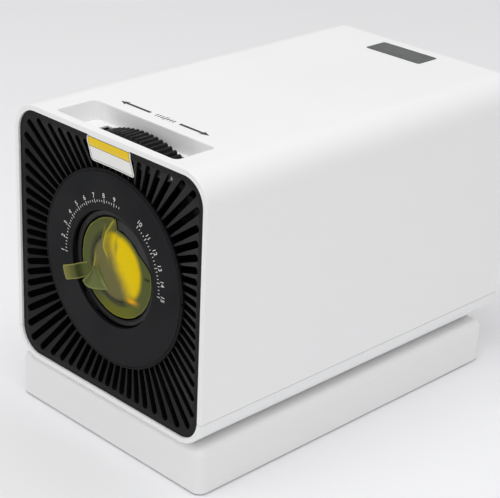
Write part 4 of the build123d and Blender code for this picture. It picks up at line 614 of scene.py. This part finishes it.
# The tab leaves the disc's edge, steps down to the bezel and curls up at its end.
rows = []
for row in range(tab_rows + 1):
    out = tab_start + (tab_end - tab_start) * row / tab_rows
    down = ease(film_radius, film_radius + 4.5 * MM, out)
    tip = ease(tab_end - 1.6 * MM, tab_end, out)
    line = []
    for column in range(tab_columns + 1):
        across = tab_width * (column / tab_columns - 0.5)
        side = abs(2 * column / tab_columns - 1)
        x = (out - 0.8 * MM * tip * side ** 4) * math.cos(tab_angle) - across * math.sin(tab_angle)
        z = (out - 0.8 * MM * tip * side ** 4) * math.sin(tab_angle) + across * math.cos(tab_angle)
        on_film = film_ring_y - film_thick - film_height(x, z)[0] - 0.12 * MM
        curl = 1.1 * MM * ease(tab_end - 9 * MM, tab_end, out) + 0.5 * MM
        colour = blend(linear(over_black), "8a8248", 0.75 * ease(tab_end - 7 * MM, tab_end - 1.5 * MM, out))
        # Painted shade where the tab steps down off the ring.
        colour = blend(colour, in_shadow, 0.6 * bump(out, film_radius + 2.6 * MM, 1.4 * MM))
        colour = blend(colour, "b3ad62", 0.8 * max(ease(0.86, 1.0, side), tip ** 3))
        line.append(film_vertex(x, z, on_film * (1 - down) + (bezel_y - curl) * down, colour, 0.93))
    rows.append(line)
film_grid(rows)

# The folded corner lies over the disc, and its free edges stand up.
rows = []
for row in range(fold_rows + 1):
    along = row / fold_rows
    near = fold_root.lerp(fold_tip, along)
    far = fold_root.lerp(fold_end, along)
    line = []
    for column in range(fold_rows + 1):
        across = column / fold_rows
        spot = near.lerp(far, across).lerp(fold_root, 0.08 * bump(across, 0.0, 0.12))
        spot.y -= fold_sag * across * (1 - across) * along ** 2
        disc = film_height(spot.x * MM, spot.y * MM)[0] / MM
        lift = disc + 0.25 + 1.5 * along * bump(across, 0.42, 0.3) + 1.0 * ease(0.75, 1.0, along) * (1 - across)
        rim = max(ease(0.93, 1.0, along), 0.7 * ease(0.9, 1.0, 1 - across), 0.9 * bump(across, 0.97, 0.05) * along)
        # Painted shade in a band near the fold's edge that runs from its root to its tip.
        colour = blend(linear(fold_green), in_shadow, 0.5 * bump(across, 0.16, 0.1) * (1 - along * 0.5))
        colour = blend(colour, "a5ad68", 0.6 * rim)
        line.append(film_vertex(spot.x * MM, spot.y * MM, film_ring_y - film_thick - lift * MM, colour, 0.93))
    rows.append(line)
film_grid(rows)

film_mesh = bpy.data.meshes.new("protective_film")
film_mesh.from_pydata(film_points, [], film_faces)
film_mesh.attributes.new("film_colour", "FLOAT_COLOR", "POINT").data.foreach_set("color", film_colours)
film_mesh.shade_smooth()
film = bpy.data.objects.new("protective_film", film_mesh)
bpy.context.scene.collection.objects.link(film)
sheet = bmesh.new()
sheet.from_mesh(film_mesh)
bmesh.ops.remove_doubles(sheet, verts=sheet.verts, dist=0.002 * MM)
bmesh.ops.recalc_face_normals(sheet, faces=sheet.faces)
outward = [face for face in sheet.faces if face.normal.y > 0]
bmesh.ops.reverse_faces(sheet, faces=outward)
sheet.to_mesh(film_mesh)
sheet.free()
solid = film.modifiers.new("thickness", "SOLIDIFY")
solid.thickness = film_thick
solid.offset = -1.0
polyester, tree, shader = new_material("yellow_green_polyester_film", Roughness=0.24, IOR=1.57,
                                       Specular_IOR_Level=0.06)
painted = node(tree, "ShaderNodeAttribute", attribute_name="film_colour")
tree.links.new(painted.outputs["Color"], shader.inputs["Base Color"])
tree.links.new(painted.outputs["Alpha"], shader.inputs["Alpha"])
tree.links.new(grain(tree, object_point(tree), 3 * MM, 0.15 * MM, strength=0.4), shader.inputs["Normal"])
film_mesh.materials.append(polyester)
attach(film, "lens")
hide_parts("lens_film")

# ---------------------------------------------------------------- sticker and badge
# The sticker is coated paper with a yellow band along its top and a thin printed outline; its words are left off.
# The badge is a dark lacquered plate, left bare.
paper_white = "f4f4f0"
band_yellow = "f4ce00"
outline_grey = "2c2c2a"
band_height = 6.2 * MM
outline_inset = 0.9 * MM
outline_width = 0.3 * MM


def fade(tree, value, low, high):
    """Smooth 0 to 1 between two lengths, or 1 to 0 where low is the larger."""
    rising = node(tree, "ShaderNodeMapRange", {"Value": value, "From Min": min(low, high), "From Max": max(low, high)},
                  interpolation_type="SMOOTHSTEP").outputs["Result"]
    return rising if low < high else math_node(tree, "SUBTRACT", 1.0, rising)


def mix(tree, share, first, second):
    """Mix two colours, each a hex string or a socket."""
    mixed = tree.nodes.new("ShaderNodeMix")
    mixed.data_type = "RGBA"
    for number, value in ((0, share), (6, first), (7, second)):
        if isinstance(value, bpy.types.NodeSocket):
            tree.links.new(value, mixed.inputs[number])
        else:
            mixed.inputs[number].default_value = linear(value) if isinstance(value, str) else value
    return mixed.outputs[2]


sticker_low, sticker_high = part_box("front_sticker")
coated_paper, tree, shader = new_material("coated_label_paper", Roughness=0.28, IOR=1.5,
                                         Specular_IOR_Level=0.25)
place = node(tree, "ShaderNodeSeparateXYZ", {"Vector": object_point(tree)})
middle = (sticker_low + sticker_high) / 2
half = (sticker_high - sticker_low) / 2
from_left = math_node(tree, "ABSOLUTE", math_node(tree, "SUBTRACT", place.outputs["X"], middle.x))
from_low = math_node(tree, "ABSOLUTE", math_node(tree, "SUBTRACT", place.outputs["Z"], middle.z))
inside = math_node(tree, "MINIMUM", math_node(tree, "SUBTRACT", half.x, from_left),
                   math_node(tree, "SUBTRACT", half.z, from_low))
off_line = math_node(tree, "ABSOLUTE", math_node(tree, "SUBTRACT", inside, outline_inset))
on_line = math_node(tree, "LESS_THAN", off_line, outline_width / 2)
band_edge = sticker_high.z - band_height
in_band = math_node(tree, "GREATER_THAN", place.outputs["Z"], band_edge)
divider = math_node(tree, "LESS_THAN", math_node(tree, "ABSOLUTE", math_node(
    tree, "SUBTRACT", place.outputs["Z"], band_edge)), outline_width / 2)
inner = math_node(tree, "GREATER_THAN", inside, outline_inset)
colour = mix(tree, math_node(tree, "MULTIPLY", in_band, inner), paper_white, band_yellow)
colour = mix(tree, math_node(tree, "MAXIMUM", on_line, math_node(tree, "MULTIPLY", divider, inner)), colour, outline_grey)
tree.links.new(colour, shader.inputs["Base Color"])
dress(["front_sticker"], coated_paper)

badge_grey = "2d3231"
lacquer, tree, shader = new_material("brushed_and_lacquered_badge", Base_Color=linear(badge_grey), Metallic=0.3,
                                     Coat_Weight=0.6, Coat_Roughness=0.15)
point = object_point(tree)
brushed = node(tree, "ShaderNodeMapping", {"Vector": point, "Scale": (0.03, 1.0, 1.0)})
tree.links.new(grain(tree, brushed.outputs[0], 0.25 * MM, 0.02 * MM, strength=0.5), shader.inputs["Normal"])
patchy(tree, point, 10 * MM, 0.32, 0.42, shader)
dress(["badge_plate"], lacquer)

# ---------------------------------------------------------------- marks behind the focus well
# Two arrows and a row of ticks, printed on the top in dark grey, show which way the ring turns.
mark_grey = "2e2e30"
arrow_y = -81.2 * MM
arrow_line = 2.0 * MM
arrow_head = (5.8 * MM, 4.8 * MM)
arrow_notch = 1.0 * MM
arrow_spans = ((-12.2 * MM, -36.0 * MM), (10.3 * MM, 32.3 * MM))
mark_ticks = 7
mark_pitch = 2.2 * MM
mark_middle = -0.8 * MM
mark_ink, tree, shader = new_material("grey_pad_print_ink", Base_Color=linear(mark_grey), IOR=1.5)
patchy(tree, object_point(tree), 1.5 * MM, 0.4, 0.6, shader)


def printed(outline):
    """A flat closed shape on the top of the housing, as thick as the ink."""
    shape = bmesh.new()
    base = [shape.verts.new((x, y, top_z - print_thick / 2)) for x, y in outline]
    face = shape.faces.new(base)
    raised = bmesh.ops.extrude_face_region(shape, geom=[face])
    for item in raised["geom"]:
        if isinstance(item, bmesh.types.BMVert):
            item.co.z += print_thick
    bmesh.ops.recalc_face_normals(shape, faces=shape.faces)
    mesh = bpy.data.meshes.new("printed")
    shape.to_mesh(mesh)
    shape.free()
    return mesh


marks = []
for tail, tip in arrow_spans:
    way = math.copysign(1.0, tip - tail)
    neck = tip - way * arrow_head[0]
    line, wing = arrow_line / 2, arrow_head[1] / 2
    marks.append(printed([
        (tail, arrow_y - line), (neck + way * arrow_notch, arrow_y - line), (neck, arrow_y - wing), (tip, arrow_y),
        (neck, arrow_y + wing), (neck + way * arrow_notch, arrow_y + line), (tail, arrow_y + line)]))
for index in range(mark_ticks):
    x = mark_middle + (index - (mark_ticks - 1) / 2) * mark_pitch
    reach = (2.2 if index == mark_ticks // 2 else 1.4) * MM
    thin = 0.48 * MM
    marks.append(printed([(x - thin, arrow_y - reach), (x + thin, arrow_y - reach),
                          (x + thin, arrow_y + reach), (x - thin, arrow_y + reach)]))
focus_marks = join("focus_marks", marks, mark_ink)
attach(focus_marks, "root")

# ---------------------------------------------------------------- screws
# Pan-head screws in black-zinced steel with a cross recess. They stand where the frame has them.
screw_head_radius = 2.8 * MM
screw_head_height = 1.8 * MM
recess_half = 0.42 * MM
recess_reach = 1.55 * MM
recess_deep = 1.1 * MM
screw_zinc, tree, shader = new_material("black_zinced_steel", Base_Color=linear("46474b"), Metallic=1.0)
point = object_point(tree)
patchy(tree, point, 1.2 * MM, 0.28, 0.42, shader)
tree.links.new(grain(tree, point, 0.3 * MM, 0.01 * MM, strength=0.5), shader.inputs["Normal"])


def screw_places(name):
    """Where each screw of a node stands: the top of its head, the way to its tip, its length."""
    merged = bmesh.new()
    merged.from_mesh(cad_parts[name].data)
    bmesh.ops.remove_doubles(merged, verts=merged.verts, dist=0.005 * MM)
    left, places = set(merged.verts), []
    while left:
        stack, island = [left.pop()], []
        while stack:
            vertex = stack.pop()
            island.append(vertex.co.copy())
            for edge in vertex.link_edges:
                other = edge.other_vert(vertex)
                if other in left:
                    left.discard(other)
                    stack.append(other)
        low = Vector([min(co[i] for co in island) for i in range(3)])
        high = Vector([max(co[i] for co in island) for i in range(3)])
        size = high - low
        axis = max(range(3), key=lambda i: size[i])
        across = (axis + 1) % 3
        centre = (low + high) / 2
        spread = {end: max(abs(co[across] - centre[across]) for co in island if abs(co[axis] - end) < 0.01 * MM)
                  for end in (low[axis], high[axis])}
        head, tip = sorted(spread, key=spread.get, reverse=True)
        top, to_tip = centre.copy(), Vector((0, 0, 0))
        top[axis] = head
        to_tip[axis] = math.copysign(1.0, tip - head)
        places.append((top, to_tip, size[axis]))
    merged.free()
    return sorted(places, key=lambda place: tuple(place[0]))


tree, given, result = new_tree("pan_head_screws", (
    ("Geometry", "NodeSocketGeometry", None), ("Head Radius", "NodeSocketFloat", 0.0),
    ("Head Height", "NodeSocketFloat", 0.0), ("Shank Radius", "NodeSocketFloat", 0.0),
    ("Recess Width", "NodeSocketFloat", 0.0), ("Recess Reach", "NodeSocketFloat", 0.0),
    ("Recess Depth", "NodeSocketFloat", 0.0)))


def cylinder(radius, depth, foot, sides=32, top_share=1.0):
    """A cylinder or cone in the tree, along Z, with its foot at this height."""
    cone = node(tree, "GeometryNodeMeshCone", {
        "Vertices": sides, "Radius Bottom": radius, "Radius Top": math_node(tree, "MULTIPLY", radius, top_share),
        "Depth": depth})
    lift = node(tree, "ShaderNodeCombineXYZ", {"Z": foot})
    return node(tree, "GeometryNodeTransform", {"Geometry": cone.outputs["Mesh"], "Translation": lift.outputs[0]})


# The head points up and its top is at zero, so the shank hangs below.
low_height = math_node(tree, "MULTIPLY", given.outputs["Head Height"], 0.55)
top_height = math_node(tree, "MULTIPLY", given.outputs["Head Height"], 0.45)
crown = cylinder(given.outputs["Head Radius"], top_height, math_node(tree, "MULTIPLY", top_height, -1.0), 32, 0.72)
flank = cylinder(given.outputs["Head Radius"], low_height, math_node(tree, "MULTIPLY", given.outputs["Head Height"],
                                                                     -1.0))
slots = []
for size in (("Recess Reach", "Recess Width"), ("Recess Width", "Recess Reach")):
    widths = [math_node(tree, "MULTIPLY", given.outputs[name], 2.0) for name in size]
    bar = node(tree, "GeometryNodeMeshCube", {"Size": node(tree, "ShaderNodeCombineXYZ", {
        "X": widths[0], "Y": widths[1], "Z": math_node(tree, "MULTIPLY", given.outputs["Recess Depth"],
                                                       2.0)}).outputs[0]})
    slots.append(bar.outputs["Mesh"])
cross = node(tree, "GeometryNodeMeshBoolean", operation="UNION")
solid_head = node(tree, "GeometryNodeMeshBoolean", operation="UNION")
for target, sources in ((cross, slots), (solid_head, (crown.outputs[0], flank.outputs[0]))):
    for source in sources:
        tree.links.new(source, target.inputs["Mesh 2"])
head = node(tree, "GeometryNodeMeshBoolean", {"Mesh 1": solid_head.outputs["Mesh"], "Mesh 2": cross.outputs["Mesh"]},
            operation="DIFFERENCE")
shank = cylinder(given.outputs["Shank Radius"], 0.999, -1.0, 20)
facing = node(tree, "FunctionNodeAlignRotationToVector", {"Vector": node(
    tree, "GeometryNodeInputNamedAttribute", {"Name": "way"}, data_type="FLOAT_VECTOR").outputs[0]}, axis="Z")
below = node(tree, "GeometryNodeInputNamedAttribute", {"Name": "length"}, data_type="FLOAT").outputs[0]
long = node(tree, "ShaderNodeCombineXYZ", {"X": 1.0, "Y": 1.0, "Z": below})
heads = node(tree, "GeometryNodeInstanceOnPoints", {"Points": given.outputs["Geometry"],
                                                    "Instance": head.outputs["Mesh"], "Rotation": facing.outputs[0]})
shanks = node(tree, "GeometryNodeInstanceOnPoints", {
    "Points": given.outputs["Geometry"], "Instance": shank.outputs[0], "Rotation": facing.outputs[0],
    "Scale": long.outputs[0]})
both = node(tree, "GeometryNodeJoinGeometry")
tree.links.new(shanks.outputs[0], both.inputs[0])
tree.links.new(heads.outputs[0], both.inputs[0])
whole = node(tree, "GeometryNodeRealizeInstances", {"Geometry": both.outputs[0]})
plated = node(tree, "GeometryNodeSetMaterial", {"Geometry": whole.outputs[0], "Material": screw_zinc})
tree.links.new(plated.outputs[0], result.inputs[0])
screw_tree = tree
for name in ("housing_screws", "base_screws"):
    places = screw_places(name)
    seeds = bpy.data.meshes.new(name + "_places")
    seeds.from_pydata([top for top, way, length in places], [], [])
    ways = [part for top, way, length in places for part in -way]
    seeds.attributes.new("way", "FLOAT_VECTOR", "POINT").data.foreach_set("vector", ways)
    seeds.attributes.new("length", "FLOAT", "POINT").data.foreach_set("value", [length for _, _, length in places])
    screws = grow("cross_head_" + name, seeds, screw_tree, {
        "Head Radius": screw_head_radius, "Head Height": screw_head_height, "Shank Radius": 1.5 * MM,
        "Recess Width": recess_half, "Recess Reach": recess_reach, "Recess Depth": recess_deep})
    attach(screws, "root")
    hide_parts(name)

# ---------------------------------------------------------------- rear panel, keys and infrared window
# The panel is black ABS, spark-textured more coarsely than the front, because nobody looks at it. The keys are
# satin grey; the window over the receiver is dark red-black acrylic.
rear_abs, tree, shader = new_material("coarse_textured_black_abs", Base_Color=linear("19191b"), IOR=1.53)
point = object_point(tree)
patchy(tree, point, 40 * MM, 0.46, 0.58, shader)
tree.links.new(grain(tree, point, 0.8 * MM, 0.06 * MM), shader.inputs["Normal"])
dress(["rear_panel"], rear_abs)
key_abs, tree, shader = new_material("satin_grey_abs", Base_Color=linear("8b8d90"), IOR=1.53)
point = object_point(tree)
patchy(tree, point, 4 * MM, 0.3, 0.42, shader)
tree.links.new(grain(tree, point, 0.4 * MM, 0.01 * MM), shader.inputs["Normal"])
dress(["power_button", "source_button"], key_abs)
window_acrylic, tree, shader = new_material("smoked_acrylic", Base_Color=linear("1a0709"), Roughness=0.08, IOR=1.49)
patchy(tree, object_point(tree), 6 * MM, 0.05, 0.12, shader)
dress(["infrared_window"], window_acrylic)

# ---------------------------------------------------------------- sockets
# Shells of tinned steel sheet round black nylon; the audio and mains sockets are nylon all over.
tinned, tree, shader = new_material("tinned_steel_sheet", Base_Color=linear("c4c4c0"), Metallic=1.0)
point = object_point(tree)
patchy(tree, point, 3 * MM, 0.22, 0.38, shader)
tree.links.new(grain(tree, point, 0.6 * MM, 0.015 * MM, strength=0.4), shader.inputs["Normal"])
dress(["video_socket", "data_socket"], tinned)
nylon, tree, shader = new_material("glossy_black_nylon", Base_Color=linear("121213"), IOR=1.53)
point = object_point(tree)
patchy(tree, point, 5 * MM, 0.2, 0.36, shader)
tree.links.new(grain(tree, point, 0.5 * MM, 0.015 * MM, strength=0.5), shader.inputs["Normal"])
dress(["audio_socket", "power_inlet"], nylon)

# ---------------------------------------------------------------- fan, speakers and light tunnel
# Glass-filled black plastics. The fan's blades are a little glossier; the speakers' cones are pressed paper.
fan_plastic, tree, shader = new_material("glossy_black_polyester_resin", Base_Color=linear("151517"), IOR=1.57)
point = object_point(tree)
patchy(tree, point, 12 * MM, 0.26, 0.4, shader)
tree.links.new(grain(tree, point, 0.9 * MM, 0.03 * MM, strength=0.5), shader.inputs["Normal"])
dress(["fan_frame", "fan_rotor"], fan_plastic)
tunnel_resin, tree, shader = new_material("heat_proof_black_resin", Base_Color=linear("101011"), IOR=1.6)
point = object_point(tree)
patchy(tree, point, 20 * MM, 0.55, 0.7, shader)
tree.links.new(grain(tree, point, 1.0 * MM, 0.05 * MM), shader.inputs["Normal"])
dress(["light_tunnel", "tunnel_cover", "condenser_holder"], tunnel_resin)
cone_paper, tree, shader = new_material("pressed_black_paper", Base_Color=linear("1d1c1b"), IOR=1.5)
point = object_point(tree)
patchy(tree, point, 2 * MM, 0.7, 0.9, shader)
fibres = node(tree, "ShaderNodeMapping", {"Vector": point, "Scale": (1.0, 1.0, 0.25)})
tree.links.new(grain(tree, fibres.outputs[0], 0.4 * MM, 0.08 * MM, detail=5.0), shader.inputs["Normal"])
dress(["speakers"], cone_paper)

# ---------------------------------------------------------------- lamp, heat sink and picture panel
# Extruded aluminium fins show the lines of the die along their length. The lamp is a white ceramic plate with a
# yellow phosphor dome in its middle. The picture panel is glass on a dark, finely squared screen.
fin_metal, tree, shader = new_material("extruded_aluminium", Base_Color=linear("c9cbcd"), Metallic=1.0)
point = object_point(tree)
drawn = node(tree, "ShaderNodeMapping", {"Vector": point, "Scale": (1.0, 0.02, 1.0)})
tree.links.new(grain(tree, drawn.outputs[0], 0.4 * MM, 0.03 * MM), shader.inputs["Normal"])
patchy(tree, point, 10 * MM, 0.3, 0.45, shader)
dress(["heat_sink"], fin_metal)
ceramic, tree, shader = new_material("lamp_ceramic_and_phosphor", Roughness=0.4, IOR=1.6)
place = node(tree, "ShaderNodeSeparateXYZ", {"Vector": node(tree, "ShaderNodeMapping", {
    "Vector": object_point(tree), "Location": (0, 0, -axis_z)}).outputs[0]})
radius = math_node(tree, "SQRT", math_node(tree, "ADD", math_node(tree, "POWER", place.outputs["X"], 2.0),
                                           math_node(tree, "POWER", place.outputs["Z"], 2.0)))
tree.links.new(mix(tree, fade(tree, radius, 9.2 * MM, 8.8 * MM), "e8e8e4", "e8c02a"), shader.inputs["Base Color"])
dress(["led_module"], ceramic)
screen, tree, shader = new_material("liquid_crystal_panel", Roughness=0.12, IOR=1.52)
cells = node(tree, "ShaderNodeTexBrick", {"Vector": node(tree, "ShaderNodeMapping", {
    "Vector": object_point(tree), "Rotation": (math.pi / 2, 0, 0)}).outputs[0], "Scale": 1.0,
    "Color1": linear("2e3134"), "Color2": linear("34373b"), "Mortar": linear("141516"),
    "Brick Width": 1.0 * MM, "Row Height": 1.0 * MM, "Mortar Size": 0.1 * MM}, offset=0.0)
tree.links.new(cells.outputs["Color"], shader.inputs["Base Color"])
dress(["lcd_panel"], screen)

# ---------------------------------------------------------------- circuit boards
# Glass-epoxy boards under green solder mask, with tracks that show as a paler maze, and dark moulded components.
mask_green, track_green, part_black = "1c4a2b", "2b6a3d", "1b1b1c"
boards = {"main_board": 2, "power_board": 2, "player_board": 2, "tray_board": 2, "key_board": 1}
board_sheet = 1.6 * MM


def board_material(name, axis):
    """Green up to the board's own face along this axis, and dark on the components beyond it."""
    low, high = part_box(name)
    material, tree, shader = new_material("solder_mask_" + name, Roughness=0.35, IOR=1.55)
    point = object_point(tree)
    tracks = node(tree, "ShaderNodeTexBrick", {
        "Vector": node(tree, "ShaderNodeMapping", {"Vector": point, "Rotation": (0 if axis == 2 else math.pi / 2, 0, 0)
                                                   }).outputs[0], "Scale": 1.0,
        "Color1": linear(mask_green), "Color2": linear("205030"), "Mortar": linear(track_green),
        "Brick Width": 7 * MM, "Row Height": 1.6 * MM, "Mortar Size": 0.16 * MM})
    along = node(tree, "ShaderNodeSeparateXYZ", {"Vector": point}).outputs[axis]
    beyond = math_node(tree, "GREATER_THAN", along, low[axis] + board_sheet + 0.05 * MM)
    tree.links.new(mix(tree, beyond, tracks.outputs["Color"], part_black), shader.inputs["Base Color"])
    return material


for name, axis in boards.items():
    dress([name], board_material(name, axis))

# ---------------------------------------------------------------- disc drive
# Pressed zinc-plated sheet for chassis, lid and traverse; ground steel rods and pins; the tray is satin black ABS,
# the hub is nylon, and the pickup is a zinc casting with a bluish lens.
zinc_sheet, tree, shader = new_material("zinc_plated_sheet", Base_Color=linear("b9bcbd"), Metallic=1.0)
point = object_point(tree)
spangle = node(tree, "ShaderNodeTexVoronoi", {"Vector": point, "Scale": 1 / (4 * MM)})
value = node(tree, "ShaderNodeMapRange", {"Value": spangle.outputs["Distance"], "To Min": 0.26, "To Max": 0.42})
tree.links.new(value.outputs["Result"], shader.inputs["Roughness"])
tree.links.new(grain(tree, point, 2 * MM, 0.01 * MM), shader.inputs["Normal"])
dress(["drive_chassis", "drive_lid", "tray_rails", "traverse_frame", "tray_motors"], zinc_sheet)
ground_steel, tree, shader = new_material("ground_steel_rod", Base_Color=linear("cbccce"), Metallic=1.0)
point = object_point(tree)
patchy(tree, point, 1.5 * MM, 0.15, 0.26, shader)
tree.links.new(grain(tree, point, 0.3 * MM, 0.005 * MM), shader.inputs["Normal"])
dress(["focus_pins", "guide_rods", "lead_screw"], ground_steel)
tray_abs, tree, shader = new_material("satin_black_tray_abs", Base_Color=linear("18181a"), IOR=1.53)
point = object_point(tree)
patchy(tree, point, 20 * MM, 0.34, 0.46, shader)
tree.links.new(grain(tree, point, 0.5 * MM, 0.02 * MM), shader.inputs["Normal"])
dress(["disc_tray", "disc_hub"], tray_abs)
pickup_low, pickup_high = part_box("laser_pickup")
pickup_zinc, tree, shader = new_material("cast_zinc_and_lens", Metallic=0.8, Roughness=0.35)
point = object_point(tree)
tall = node(tree, "ShaderNodeSeparateXYZ", {"Vector": point}).outputs["Z"]
on_lens = math_node(tree, "GREATER_THAN", tall, pickup_high.z - 0.3 * MM)
tree.links.new(mix(tree, on_lens, "8f9193", "27346e"), shader.inputs["Base Color"])
tree.links.new(grain(tree, point, 0.7 * MM, 0.04 * MM), shader.inputs["Normal"])
dress(["laser_pickup"], pickup_zinc)

# ---------------------------------------------------------------- feet
# Moulded black rubber, dusty and quite matt.
rubber, tree, shader = new_material("moulded_black_rubber", Base_Color=linear("1c1c1c"), IOR=1.52)
point = object_point(tree)
patchy(tree, point, 3 * MM, 0.7, 0.9, shader)
tree.links.new(grain(tree, point, 0.6 * MM, 0.05 * MM), shader.inputs["Normal"])
dress(["rubber_feet"], rubber)
